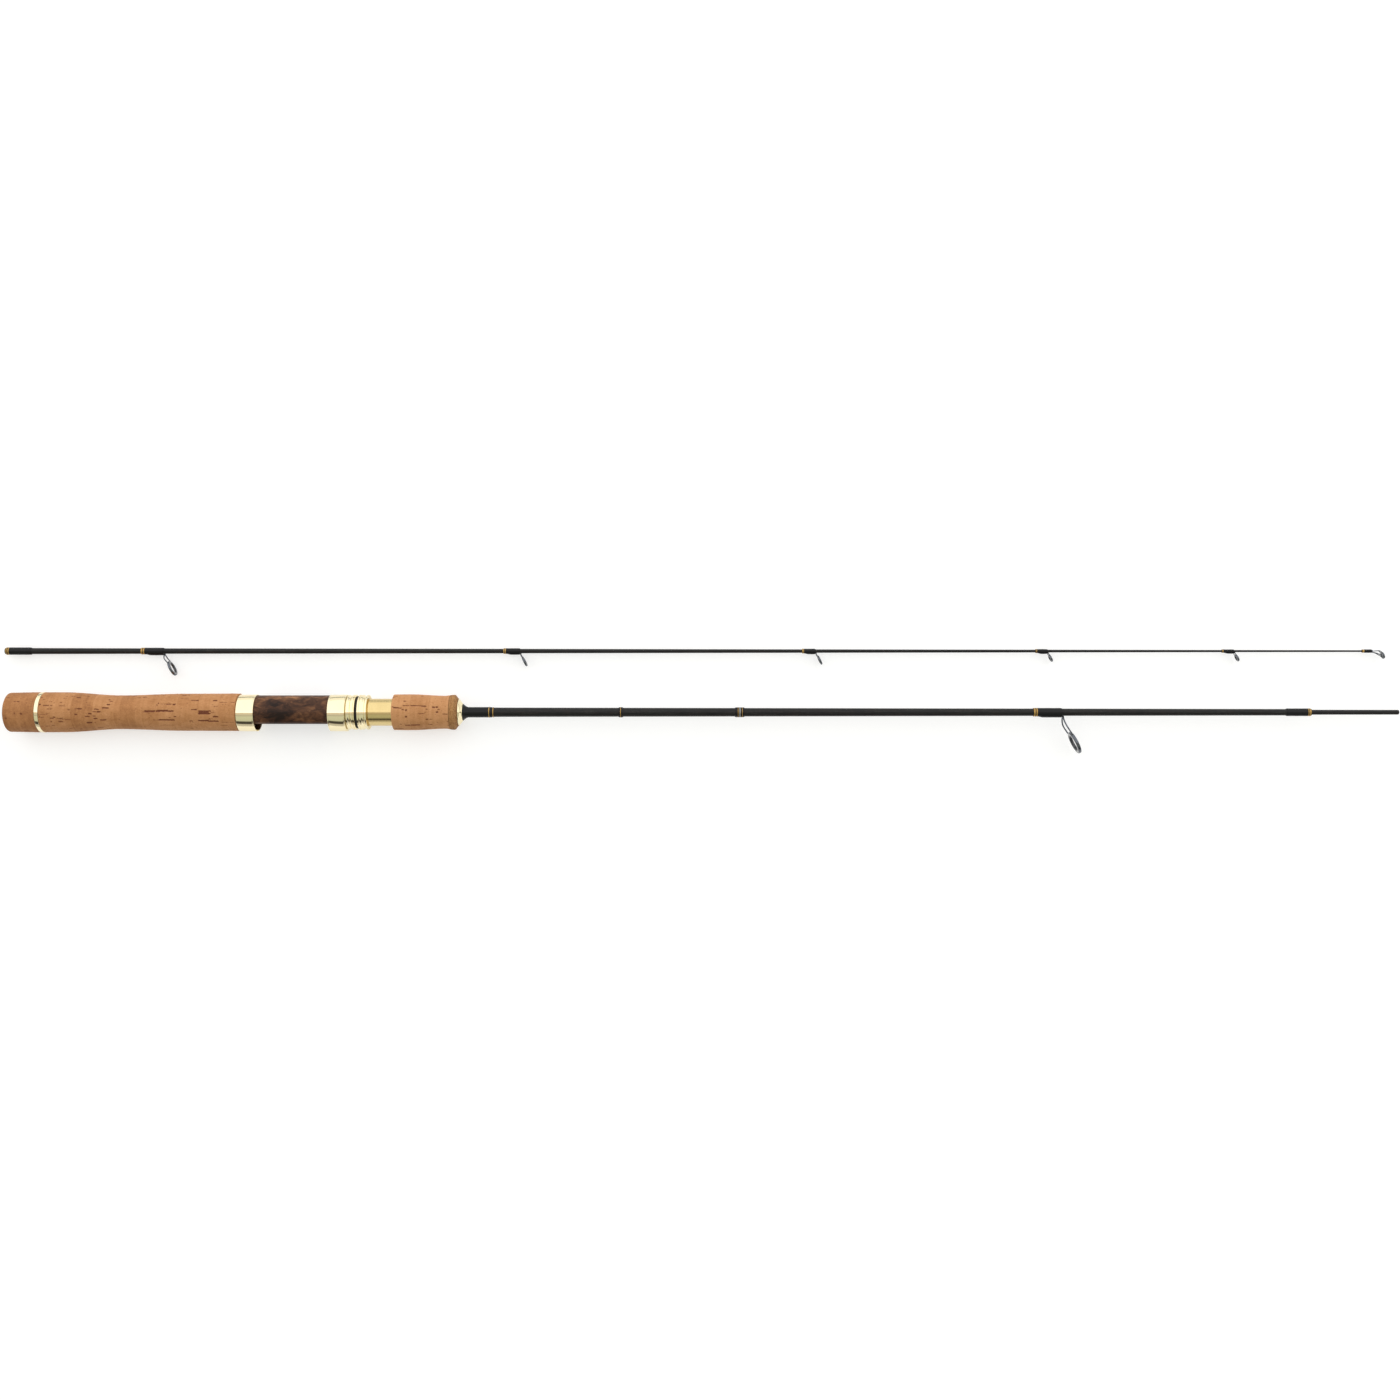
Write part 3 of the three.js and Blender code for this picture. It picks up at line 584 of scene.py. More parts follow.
# The larger pores on the upper side of the grips, one by one as they look from above: from x to x,
# across from the axis towards -Y, half width, depth from 0 to 1
PORES_SEEN = [
    (7, 8.5, -7.4, 0.35, 0.5), (9, 10.7, -7.4, 0.3, 0.7), (7, 7.8, 0.9, 0.4, 0.6),
    (11.2, 12.6, 1, 0.6, 0.55), (0.8, 2.2, 4, 0.6, 0.4), (24.2, 25.2, -5.4, 0.5, 0.95),
    (24.4, 25, 3.2, 0.6, 0.9), (25.3, 26.5, -10, 0.4, 0.6), (27, 33.2, -4.7, 0.45, 0.5),
    (31, 33, -7.3, 0.3, 0.45), (29.5, 33, -2.2, 0.35, 0.45), (38.5, 40, -6.7, 0.3, 0.5),
    (38, 42, -4.3, 0.3, 0.4), (43.7, 45, -1.7, 0.35, 0.5), (31.5, 34, 4.1, 0.3, 0.6),
    (33.8, 35.2, 3.4, 0.45, 0.7), (32.2, 33, 6.4, 0.45, 0.55), (37.5, 40.5, 6.3, 0.45, 0.55),
    (38.5, 40.5, 4.2, 0.3, 0.4), (33, 35, 9, 0.4, 0.4), (46.5, 49, -10.8, 0.4, 0.45),
    (50, 52.6, -10.1, 0.35, 1), (57.5, 59, -10.7, 0.3, 0.45), (48.5, 53.3, -2.5, 0.22, 0.6),
    (50.5, 53, -2.4, 0.35, 0.9), (48.5, 50.2, 1.6, 0.4, 0.75), (55.5, 59, 2.8, 0.28, 0.75),
    (57.8, 60, 0.9, 0.42, 1), (60.2, 62.8, -0.4, 0.35, 0.5), (61.8, 64.8, -2.1, 0.3, 0.75),
    (63.6, 66, -0.3, 0.42, 1), (60.5, 62.5, 2.6, 0.4, 0.45), (61.5, 64, 4.3, 0.38, 0.9),
    (66, 70, 5.4, 0.42, 0.7), (57, 60.2, 7.1, 0.5, 0.95), (67.3, 71.5, -3, 0.42, 0.75),
    (70.5, 72.5, -5.2, 0.5, 0.8), (71.8, 72.8, -8.5, 0.4, 0.8), (72.5, 74.3, -7.6, 0.35, 0.7),
    (64.5, 68.5, 10.4, 0.3, 0.6), (52.5, 54, 11.3, 0.5, 0.5), (45, 47, 11, 0.3, 0.45),
    (91, 94, -10, 0.35, 0.5), (95, 98, -10.3, 0.35, 0.7), (96, 107, -0.7, 0.5, 0.85),
    (105, 112, -1.1, 0.6, 1), (112, 116, -0.9, 0.5, 0.65), (104.3, 105.2, -5, 0.4, 0.8),
    (105.3, 106.2, -6.2, 0.35, 0.8), (107, 115, -5.7, 0.22, 0.5), (111, 114, -5.4, 0.3, 0.6),
    (115.5, 117.3, -5.4, 0.5, 0.9), (102, 107, 5.3, 0.25, 0.5), (106, 116.7, 5.3, 0.4, 0.95),
    (116.3, 117.7, 3, 0.35, 0.75), (122, 124.8, -11.5, 0.3, 1), (128, 132, -8.1, 0.28, 0.65),
    (131.5, 133.3, -8.1, 0.4, 1), (128, 130.6, -1.9, 0.25, 0.65), (130.4, 132.3, -1.9, 0.35, 0.9),
    (132.9, 141.5, -0.9, 0.35, 0.9), (132.9, 141, 1.1, 0.38, 0.9), (133, 140, 0.2, 0.5, 0.6),
    (133, 140, 5.75, 0.42, 1), (139.5, 147, 6.1, 0.4, 1), (143, 145.8, -8, 0.42, 1),
    (143, 146.5, 3, 0.42, 0.95), (127, 129, 6, 0.4, 0.45), (127.5, 129.5, 11, 0.4, 0.45),
    (147.4, 152.5, -6.7, 0.16, 0.6), (155, 158, -6.7, 0.18, 0.65), (149, 157.5, 7, 0.14, 0.45),
    (148, 153, 9.1, 0.15, 0.5), (151, 158, 11.8, 0.15, 0.5), (264.8, 266.5, -10.2, 0.35, 0.8),
    (273, 274.5, -7.6, 0.6, 0.45), (272.5, 288, -4.5, 0.26, 0.6), (278, 281, -4.6, 0.3, 0.9),
    (285, 288.5, -4, 0.38, 0.5), (264.9, 266, -3.8, 0.35, 0.65), (266, 269.3, -3.1, 0.42, 0.8),
    (269.5, 271.5, -2.8, 0.3, 0.6), (271.5, 273, -1.9, 0.4, 0.6), (274, 275, -1.5, 0.6, 0.65),
    (283, 287, 0.9, 0.25, 0.55), (288, 289, -1.9, 0.4, 0.55), (292.3, 294, -3.5, 0.5, 0.95),
    (294.8, 296.3, -3.5, 0.5, 0.95), (296, 297.5, -2, 0.3, 0.55), (295, 296.3, -0.1, 0.5, 0.8),
    (299.5, 302.8, 1.2, 0.35, 0.45), (273.7, 275, 3.1, 0.5, 0.65), (288, 289.5, 4.9, 0.35, 0.95),
    (289, 292.3, 4.9, 0.22, 0.75), (302.3, 303.3, 6.4, 0.4, 0.5), (274, 284, 8.8, 0.45, 0.65),
    (276, 279, 8.8, 0.4, 0.8), (290, 292.5, 8.4, 0.35, 0.65), (267, 273, 11.2, 0.35, 0.6),
    (286.5, 289, 11.2, 0.3, 0.6),
]
# Height of the level plane on which those places are told, its distance from the line under the
# camera to the axis, and how much shorter a millimetre is across it than along it
SEEN_HEIGHT = 24.073
SEEN_AXIS = 8.3592
SEEN_ACROSS = 0.9971
EDGE_ON = 0.97
SIGHT_STEPS = 4


def on_cork(x, across, radius):
    """Follows the sight line through a place seen down to the cork: x, degrees from the top to -Y."""
    axis, eye = BUTT / MM, CAMERA_HEIGHT / MM
    height = axis.z + radius
    for _ in range(SIGHT_STEPS):
        nearer = (eye - height) / (eye - SEEN_HEIGHT)
        offset = (SEEN_AXIS + across * SEEN_ACROSS) * nearer + axis.y
        offset = max(-EDGE_ON * radius, min(EDGE_ON * radius, offset))
        height = axis.z + math.sqrt(radius * radius - offset * offset)
    return round(-axis.x + (x + axis.x) * nearer, 1), round(math.degrees(math.asin(offset / radius)))


def placed_pore(start, end, across, half, depth):
    shape = GRIP_SHAPE if start < GRIP_SHAPE[-1][0] else FORE_SHAPE
    radius = float(blended(shape, (start + end) / 2))
    start, degrees = on_cork(start, across, radius)
    return start, on_cork(end, across, radius)[0], degrees, half, depth


LARGE_PORES = [placed_pore(*pore) for pore in PORES_SEEN]


def large_pores(rng, x0, x1, radius):
    """The larger pores between x0 and x1, each as a row of short dashes."""
    rows = []
    for start, end, degrees, half, depth in LARGE_PORES:
        start, end = max(start, x0 + 0.15), min(end, x1 - 0.15)
        if end <= start:
            continue
        middle = (math.pi / 2 + math.radians(degrees)) * radius
        for x in np.arange(start + 0.2, max(end - 0.1, start + 0.25), 0.32):
            rows.append((x, middle + rng.normal(0, 0.07), rng.uniform(0.3, 0.42),
                         half * rng.uniform(0.8, 1.15), depth * rng.uniform(0.85, 1.0)))
    return rows


def pore_blobs(rng, x0, x1, radius, streaks, dots):
    """Cork pores: broken streaks along the rod, and loose dots, as rows of x, arc, half sizes, depth."""
    rows = []
    length = x1 - x0
    around = TAU * radius
    for _ in range(streaks):
        run = min(rng.lognormal(1.05, 0.6), length * 0.95)
        start = x0 + rng.uniform(0, length - run)
        arc_at = rng.uniform(0, around)
        lean = rng.normal(0, 0.07)
        heavy = rng.uniform(0.35, 1.0)
        for s in np.arange(0, run, 0.38):
            if rng.random() < 0.16:
                continue
            rows.append((
                start + s, arc_at + lean * s + rng.normal(0, 0.1), rng.uniform(0.25, 0.5),
                rng.uniform(0.14, 0.36) * (0.6 + heavy * 0.6), heavy * rng.uniform(0.6, 1.0),
            ))
    for _ in range(dots):
        rows.append((
            rng.uniform(x0, x1), rng.uniform(0, around), rng.uniform(0.2, 0.55),
            rng.uniform(0.14, 0.3), rng.uniform(0.3, 0.9),
        ))
    cluster = rng.integers(0, 3)
    for _ in range(cluster):
        cx, ca = rng.uniform(x0, x1), rng.uniform(0, around)
        slope = rng.uniform(-1.2, 1.2)
        for _ in range(rng.integers(5, 11)):
            s = rng.uniform(-5, 5)
            rows.append((
                cx + s, ca + slope * s + rng.normal(0, 0.6), rng.uniform(0.4, 0.95),
                rng.uniform(0.2, 0.36), rng.uniform(0.6, 1.0),
            ))
    top = math.pi / 2 * radius
    rows = [r for r in rows if r[4] < 0.5 or abs(r[1] - top) > 1.15 * radius]
    return np.array(rows + large_pores(rng, x0, x1, radius))


def pore_depth(blobs, x, arc_at, around):
    """How deep in a pore each point is, from 0 to 1."""
    depth = np.zeros(x.shape)
    for bx, ba, half_x, half_a, strength in blobs:
        near = np.abs(x - bx) < 1.6 * half_x
        if not near.any():
            continue
        across = np.abs(arc_at[near] - ba) % around
        across = np.minimum(across, around - across)
        q = np.sqrt(((x[near] - bx) / half_x) ** 2 + (across / half_a) ** 2)
        depth[near] = np.maximum(depth[near], strength * (1 - smoothstep(0.55, 1.35, q)))
    return depth


def cork_piece(name, node, outline, shape, streaks=11, dots=26, material=None, pits=0.22,
               tone=0.5):
    """A turned cork body. outline gives, in order, the skin's first and last x and the rest of the loop."""
    x0, x1, closing, head, tail = outline
    rng = random_of(name)
    mean = float(shape((x0 + x1) / 2))
    segments = int(round(TAU * mean / CORK_STEP / 8)) * 8
    xs = np.linspace(x0, x1, max(3, int(round((x1 - x0) / CORK_STEP))))
    skin = [ring_of(x, float(shape(x)), segments) for x in xs]
    before = [ring_of(x, r, segments) for x, r in head]
    after = [ring_of(x, r, segments) for x, r in tail + closing]
    rings = before + skin + after
    vertices, quads = lofted(rings)
    first = len(before) * segments
    last = first + len(skin) * segments
    part = vertices[first:last]
    angle = np.arctan2(part[:, 2], part[:, 1]) % TAU
    arc_at = angle * mean
    blobs = pore_blobs(rng, x0 + 0.2, x1 - 0.2, mean, streaks, dots)
    depth = pore_depth(blobs, part[:, 0], arc_at, TAU * mean)
    wave = np.zeros(len(part))
    for _ in range(9):
        kx, ka = rng.normal(0, 1.6), rng.integers(1, 16)
        wave += np.sin(kx * part[:, 0] + ka * angle + rng.uniform(0, TAU)) * 0.009
    edge = np.minimum(part[:, 0] - x0, x1 - part[:, 0])
    seam = 1 - smoothstep(0.0, 0.35, edge)
    radius = np.hypot(part[:, 1], part[:, 2])
    sunk = (radius - depth * pits + wave - seam * 0.012) / radius
    part[:, 1] *= sunk
    part[:, 2] *= sunk
    color = np.zeros((len(vertices), 4), np.float32)
    color[:, 1] = tone + rng.uniform(-0.35, 0.35)
    color[:, 3] = 1
    color[first:last, 0] = depth
    color[first:last, 2] = seam * (0.5 + 0.5 * np.sin(angle * 3 + rng.uniform(0, TAU)))
    mesh = bpy.data.meshes.new(name)
    mesh.from_pydata((vertices * MM + np.array(BUTT)).tolist(), [], quads.tolist())
    layer = mesh.color_attributes.new("cork", "FLOAT_COLOR", "POINT")
    layer.data.foreach_set("color", color.ravel())
    mesh.update()
    if mesh_volume(vertices, quads) < 0:
        mesh.flip_normals()
    return finished(name, mesh, node, material, sharp=50)


def mesh_volume(vertices, quads):
    """Six times the volume inside the quads, negative when they face inwards."""
    a, b, c, d = (vertices[quads[:, k]] for k in range(4))
    return float(np.einsum("ij,ij->i", a, np.cross(b, c)).sum()
                 + np.einsum("ij,ij->i", a, np.cross(c, d)).sum())


def grip_radius(x):
    return blended(GRIP_SHAPE, x)


def fore_radius(x):
    return blended(FORE_SHAPE, x)


def cork_ring(node, shape, edge=0.02, **look):
    """A glued ring. edge is how far its rear corner is eased."""
    end = 0.02
    x0, x1 = span(node)
    bore0, bore1 = float(butt_bore(x0)), float(butt_bore(x1))
    x0, x1 = x0 - 0.045, x1 + 0.045
    head = [(x0, bore0), (x0, float(shape(x0)) - edge)]
    tail = [(x1, float(shape(x1)) - end), (x1, bore1)]
    return cork_piece(node + "_cork", node, (x0 + edge * 0.4, x1 - end * 0.4, [], head, tail),
                      shape, **look)


def butt_cap():
    """The cap has a rounded corner, a closed rear face and a tenon for the trim ring."""
    corner, shoulder, tenon_radius, blind_end = 1.2, 21.8, 9.8, 4.6

    def cap_radius(x):
        t = np.clip((corner - np.asarray(x, float)) / corner, 0, 1)
        return grip_radius(np.maximum(x, corner)) - corner * (1 - np.sqrt(np.maximum(0, 1 - t * t)))

    face = float(grip_radius(corner)) - corner
    head = [(blind_end, 0.001), (0.0, 0.001)] + [(0.0, face * k / 12) for k in range(1, 13)]
    tenon_end = span("butt_cap")[1]
    bore = float(butt_bore(5))
    tail = [(shoulder, float(grip_radius(shoulder)) - 0.12), (shoulder, tenon_radius),
            (tenon_end, tenon_radius), (tenon_end, bore)]
    outline = (0.03, shoulder - 0.05, [(blind_end, bore)], head, tail)
    cork_piece("butt_cap_cork", "butt_cap", outline, cap_radius, streaks=9, dots=40)


butt_cap()
for ring in range(1, 11):
    cork_ring(f"rear_cork_ring_{ring}", grip_radius)
for ring in range(1, 4):
    cork_ring(f"fore_cork_ring_{ring}", fore_radius, edge=0.9 if ring == 1 else 0.02, tone=0.95)


def end_ring():
    x0, x1 = span("fore_end_ring")

    def radius(x):
        body = fore_radius(x)
        nose = 12.05 - (12.05 - 9.5) * smoothstep(306.3, 309.0, x)
        return np.minimum(body, nose)

    head = [(x0, float(butt_bore(x0))), (x0, float(radius(x0)) - 0.1)]
    tail = [(x1, float(radius(x1)) - 0.1), (x1, float(butt_bore(x1)))]
    cork_piece("fore_end_ring_cork", "fore_end_ring", (x0 + 0.05, x1 - 0.05, [], head, tail),
               radius, streaks=0, dots=120, material="composite_cork", pits=0.12)


end_ring()

# ------------------------------------------------------------------ reel seat and metal trim

METAL_SEGMENTS = 160
NUT_BORE = 9.68


def trim_ring():
    x0, x1 = span("butt_trim_ring")
    build("butt_trim_ring_metal", *turned(rounded(x0, x1, 10.0, 13.95, 0.3), METAL_SEGMENTS),
          node="butt_trim_ring", sharp=0)


HOOD_RADIUS = 12.7
HOOD_WALL = 0.45
HOOD_DROP = 0.5
HOOD_END = 1.0


def hood(node, back, mouth, hole, bead=None):
    """A cup whose axis lies below the blank's, with a rounded rim and a fine groove at its mouth.

    bead is one more rolled groove: its distance from the back, depth and half width.
    """
    s = 1 if mouth > back else -1
    r, inner, d = HOOD_RADIUS, HOOD_RADIUS - HOOD_WALL, HOOD_DROP
    lip = 0.24
    loop = [(back, hole, 0.0)]
    loop += [(back + s * (0.5 - 0.5 * math.cos(a)), r - 0.5 + 0.5 * math.sin(a), d)
             for a in np.linspace(0, math.pi / 2, 7)]
    if bead:
        at, depth, half = bead
        for u in np.linspace(-1, 1, 9):
            dip = depth * 0.5 * (1 + math.cos(math.pi * u))
            loop.append((back + s * (at + u * half), r - dip, d))
    loop += [(mouth - s * 1.05, r, d), (mouth - s * 0.9, r - 0.07, d), (mouth - s * 0.75, r, d)]
    loop += [(mouth - s * lip * (1 - math.sin(a)), r - lip + lip * math.cos(a), d)
             for a in np.linspace(0, math.pi / 2, 5)]
    loop += [(mouth, inner + 0.08, d), (mouth - s * 0.1, inner, d)]
    loop += [(back + s * (HOOD_END + 0.4), inner, d), (back + s * HOOD_END, inner - 0.4, d)]
    loop += [(back + s * HOOD_END, hole, 0.0)]
    build(node + "_metal", *turned(loop, METAL_SEGMENTS), node=node, sharp=50)


def seat_insert():
    """The wooden insert, its bed edges bevelled and softened, finely rounded at each end."""
    x0, x1 = span("seat_insert")
    bed, bed_half, bevel_top = 8.0, 7.4, 6.93
    half = math.acos(bevel_top / INSERT_RADIUS)
    angles = np.linspace(math.pi + half, 3 * math.pi - half, 150)
    outline = [(INSERT_RADIUS * math.cos(a), INSERT_RADIUS * math.sin(a)) for a in angles]
    y, z = outline[-1]
    down = [(y + t * (-bed - y), z + t * (bed_half - z)) for t in np.linspace(0, 1, 8)[1:]]
    up = [(y, -z) for y, z in reversed(down)]
    flat = [(-bed, z) for z in np.linspace(bed_half, -bed_half, 40)][1:-1]
    section = np.array(outline + down + flat + up)
    for _ in range(2):
        blurred = (np.roll(section, 1, 0) + 2 * section + np.roll(section, -1, 0)) / 4
        edge = section[:, 0] < -bevel_top + 0.3
        section[edge] = blurred[edge]
    count = len(section)
    bore_angles = np.arctan2(section[:, 1], section[:, 0])
    bore = float(butt_bore(x0))
    bore_ring = np.column_stack([bore * np.cos(bore_angles), bore * np.sin(bore_angles)])

    def ring(x, points, scale=1.0):
        return np.column_stack([np.full(count, x), points * scale])

    xs = np.linspace(x0 + 0.3, x1 - 0.3, 90)
    rings = [ring(x0, bore_ring), ring(x0, section, 0.975)]
    rings += [ring(x, section) for x in xs]
    rings += [ring(x1, section, 0.975), ring(x1, bore_ring)]
    build("seat_insert_wood", *lofted(rings), node="seat_insert", sharp=55)


def barrel():
    """Satin barrel with a fine rolled thread."""
    x0, x1 = span("seat_barrel")
    pitch, depth = 1.0, 0.035
    segments = 96
    turn = np.arange(segments) / segments
    rings = [ring_of(x0, 7.6, segments)]
    for x in np.arange(x0, x1 + 1e-6, pitch / 8):
        phase = (x - x0) / pitch - turn
        cut = depth * (0.5 - 0.5 * np.cos(TAU * phase))
        cut *= smoothstep(x0, x0 + 1.2, x) * (1 - smoothstep(x1 - 3.0, x1 - 1.5, x))
        a = turn * TAU
        r = 9.4 - cut
        rings.append(np.column_stack([np.full(segments, x), r * np.cos(a), r * np.sin(a)]))
    rings.append(ring_of(x1, 7.6, segments))
    build("seat_barrel_metal", *lofted(rings), node="seat_barrel", sharp=60)


def lock_nut():
    """Each side of the rubber band's groove: a plain rim, a hollow, a broad bead and a rim."""
    x0, x1 = span("lock_nut")
    b0, b1 = span("nut_rubber_band")
    middle = (b0 + b1) / 2
    half = arc(x0 + 0.35, 11.75, 0.35, 180, 90, 6) + [(x0 + 0.85, 12.1)]
    half += [(x0 + 0.95 + t * 2.15, 12.05 - 0.62 * math.sin(math.pi * t) ** 1.5)
             for t in np.linspace(0.06, 0.94, 13)]
    half += [(x0 + 3.15 + t * 1.5, 11.92 + 0.22 * math.sin(math.pi * t))
             for t in np.linspace(0, 1, 9)]
    half += [(x0 + 4.72, 11.7), (x0 + 4.8, 11.95), (x0 + 4.95, 12.1), (b0 - 0.25, 12.12)]
    half += [(b0 - 0.12, 11.95), (b0 - 0.08, 10.4)]
    stretch = (x1 - middle) / (middle - x0)
    mirrored = [(middle + (middle - x) * (stretch if x < b0 - 0.3 else 1.0), r)
                for x, r in reversed(half)]
    loop = [(x0 + 0.5, NUT_BORE), (x0 + 0.5, 10.9), (x0, 11.2)] + half + mirrored
    loop += [(x1, 11.2), (x1 - 0.9, 10.7), (x1 - 0.9, NUT_BORE)]
    build("lock_nut_metal", *turned(loop, METAL_SEGMENTS), node="lock_nut", sharp=42)
    build("nut_rubber_band_soft", *turned(rounded(b0, b1, 10.5, 11.2, 0.4), METAL_SEGMENTS),
          node="nut_rubber_band", sharp=50)


def washer():
    x0, x1 = span("thrust_washer")
    loop = rounded(x0, x1, NUT_BORE, 11.7, 0.12, 4)
    build("thrust_washer_metal", *turned(loop, METAL_SEGMENTS), node="thrust_washer", sharp=50)


def winding_check():
    x0, x1 = span("winding_check")
    bore = wrap_bore(BUTT_BLANK, x0)
    loop = [(x0, bore), (x0, 8.9)] + arc(x0 + 0.28, 8.9, 0.28, 170, 60, 5)
    loop += [(x0 + 0.62, 8.92), (x0 + 0.7, 8.72)]
    loop += [(x0 + 0.75 + t * (x1 - x0 - 1.05), 8.68 - 2.3 * t ** 1.12) for t in np.linspace(0, 1, 10)]
    loop += [(x1 - 0.14, 6.3), (x1 - 0.03, 6.15), (x1, 5.95), (x1, bore)]
    build("winding_check_metal", *turned(loop, METAL_SEGMENTS), node="winding_check", sharp=38)


trim_ring()
hood("fixed_hood", *span("fixed_hood"), float(butt_bore(span("fixed_hood")[0])))
hood("sliding_hood", *reversed(span("sliding_hood")), NUT_BORE, bead=(0.7, 0.16, 0.3))
seat_insert()
barrel()
lock_nut()
washer()
winding_check()
frame["nodes"]["seat_arbor"].data.materials.clear()
frame["nodes"]["seat_arbor"].data.materials.append(MATERIALS["arbor_foam"])

# ------------------------------------------------------------------ blanks

TIP_BLANK = [(-7, 2.2), (90, 1.93), (340, 1.56), (480, 1.32), (700, 0.98), (850, 0.74), (941, 0.6)]
TIP_BORE = [(-7, 1.76), (59, 1.7), (90, 1.4), (480, 0.8), (620, 0.6)]
THIN_SEGMENTS = 48
BUTT_BLANK_END = BUTT_BLANK[-1][0]
SPIGOT_RADIUS = 1.7
SPIGOT_OUT = 61
SOLID = 0.002  # the radius at which a solid piece's ends are closed


def blanks():
    first, last = BUTT_BLANK[0][0], BUTT_BLANK_END
    xs = np.linspace(first, last, 240)
    outer = [(x, float(straight(BUTT_BLANK, x))) for x in xs]
    outer = outer[:-1] + arc(last - 0.15, outer[-1][1] - 0.15, 0.15, 90, 0, 4)
    inner = [(last, 1.78), (last - 60, 1.78), (first, 2.9)]
    build("butt_blank_graphite", *turned(outer + inner, THIN_SEGMENTS), node="butt_blank", sharp=50)
    first, last = TIP_BLANK[0][0], TIP_BLANK[-1][0]
    xs = np.linspace(first, last, 260)
    outer = [(x, float(straight(TIP_BLANK, x))) for x in xs]
    mouth = arc(first + 0.12, outer[0][1] - 0.12, 0.12, 180, 90, 4)
    nose = [(last + 0.2, 0.35), (last + 0.2, SOLID)]
    closing = [(TIP_BORE[-1][0], SOLID)] + TIP_BORE[::-1]
    build("tip_blank_graphite", *turned(mouth + outer[1:] + nose + closing, THIN_SEGMENTS),
          node="tip_blank", origin=TIP, sharp=50)


def spigot():
    start, end = span("spigot")[0], span("spigot")[1] - 0.9
    loop = [(start, SOLID), (start, SPIGOT_RADIUS), (BUTT_BLANK_END, SPIGOT_RADIUS)]
    loop += [(x, SPIGOT_RADIUS - 0.06 * (x - BUTT_BLANK_END) / SPIGOT_OUT)
             for x in np.linspace(BUTT_BLANK_END + 1, end - 0.8, 40)]
    loop += arc(end - 0.45, 1.64 - 0.45, 0.45, 90, 0, 6) + [(end, SOLID)]
    build("spigot_graphite", *turned(loop, THIN_SEGMENTS), node="spigot", sharp=50)


blanks()
spigot()

# ------------------------------------------------------------------ wraps


def thinning(x, x0, x1, taper, front=-0.35):
    """How full the epoxy is at x: 1 along the wrap, less where it thins out at both ends."""
    return min(float(smoothstep(-0.35, 1, (x - x0) / taper)),
               float(smoothstep(front, 1, (x1 - x) / taper)))


def plain_wrap(node, blank, origin, thickness):
    """Thread under a coat of epoxy that thins out over the blank at both ends. Gives its radius."""
    x0, x1 = span(node)
    bore = wrap_bore(blank, x0)
    radius = bore + thickness
    taper = min(0.8, (x1 - x0) / 4)
    xs = np.concatenate([
        np.linspace(x0, x0 + taper, 8), np.linspace(x0 + taper, x1 - taper, 24)[1:-1],
        np.linspace(x1 - taper, x1, 8),
    ])
    low = random_of(node).uniform(0, TAU)
    outer = []
    for x in xs:
        ease = thinning(x, x0, x1, taper)
        swell = 0.018 * math.sin(low + x * 1.1)
        outer.append((x, bore + 0.02 + (radius - bore) * ease + swell * ease))
    build(node + "_thread", *turned([(x0, bore)] + outer + [(x1, bore)], THIN_SEGMENTS), node=node,
          origin=origin, sharp=50)
    return radius


def band(name, x0, x1, radius, origin, body, slot="gold_thread", material=None, thickness=0.05):
    """A narrow band of metallic thread, standing just proud of the wrap or the blank below it."""
    loop = rounded(x0, x1, radius - 0.1, radius + thickness, min(0.08, thickness / 2), 4)
    build(name, *turned(loop, THIN_SEGMENTS), origin=origin, material=material or slot, slot=slot,
          body=body, sharp=0)


def grip_wrap():
    """The wrap flares up to the winding check, and has a gold band near each end."""
    x0, x1 = span("grip_wrap")
    bore, radius, flare_length, flare_rise = wrap_bore(BUTT_BLANK, x0), 3.58, 3.7, 2.15
    flare = [(x0 + flare_length * t, radius + flare_rise * (1 - t) ** 1.75)
             for t in np.linspace(0, 1, 18)]
    body = [(x, radius + 0.02 * math.sin(x)) for x in np.linspace(x0 + 3.8, x1 - 0.3, 30)]
    loop = [(x0, bore), (x0, 5.6)] + flare + body + [(x1, 3.45), (x1, bore)]
    build("grip_wrap_thread", *turned(loop, THIN_SEGMENTS), node="grip_wrap", sharp=50)
    for number in (1, 2):
        node = f"grip_gold_band_{number}"
        b0, b1 = span(node)
        low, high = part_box(node)
        top = (high.y - low.y) / 2 / MM
        loop = rounded(b0 + 0.2, b1 - 0.2, top - 0.18, top, 0.15, 4)
        build(node + "_thread", *turned(loop, THIN_SEGMENTS), node=node, sharp=0)


grip_wrap()
rear_trim = plain_wrap("trim_wrap_rear", BUTT_BLANK, BUTT, 0.38)
front_trim = plain_wrap("trim_wrap_front", BUTT_BLANK, BUTT, 0.42)
GOLD_LINE = {"slot": "gold_thread"}
SILVER_LINE = {"slot": "guide_metal", "material": "silver_thread"}
for name, at, half, radius, look in (
        ("trim_line_1", 420.4, 0.2, rear_trim, GOLD_LINE),
        ("trim_line_2", 501.2, 0.17, front_trim, GOLD_LINE),
        ("trim_line_3", 502.5, 0.3, front_trim, SILVER_LINE),
        ("trim_line_4", 504.1, 0.17, front_trim, GOLD_LINE)):
    band(name, at - half, at + half, radius, BUTT, "butt_section", **look)
for end, blank, origin, thickness, lines in (
        ("butt", BUTT_BLANK, BUTT, 0.34, ((893.2, 893.7), (894.2, 895.2))),
        ("tip", TIP_BLANK, TIP, 0.3, ((-6.1, -5.4), (-4.8, -4.0)))):
    ferrule = plain_wrap(f"ferrule_wrap_{end}", blank, origin, thickness)
    for number, (x0, x1) in enumerate(lines, 1):
        band(f"ferrule_gold_{end}_{number}", x0, x1, ferrule, origin, f"{end}_section",
             thickness=0.06)

# ------------------------------------------------------------------ line guides

RAKE = 26
FOOT_SLIM = 0.6
RING_PLAY = 0.08


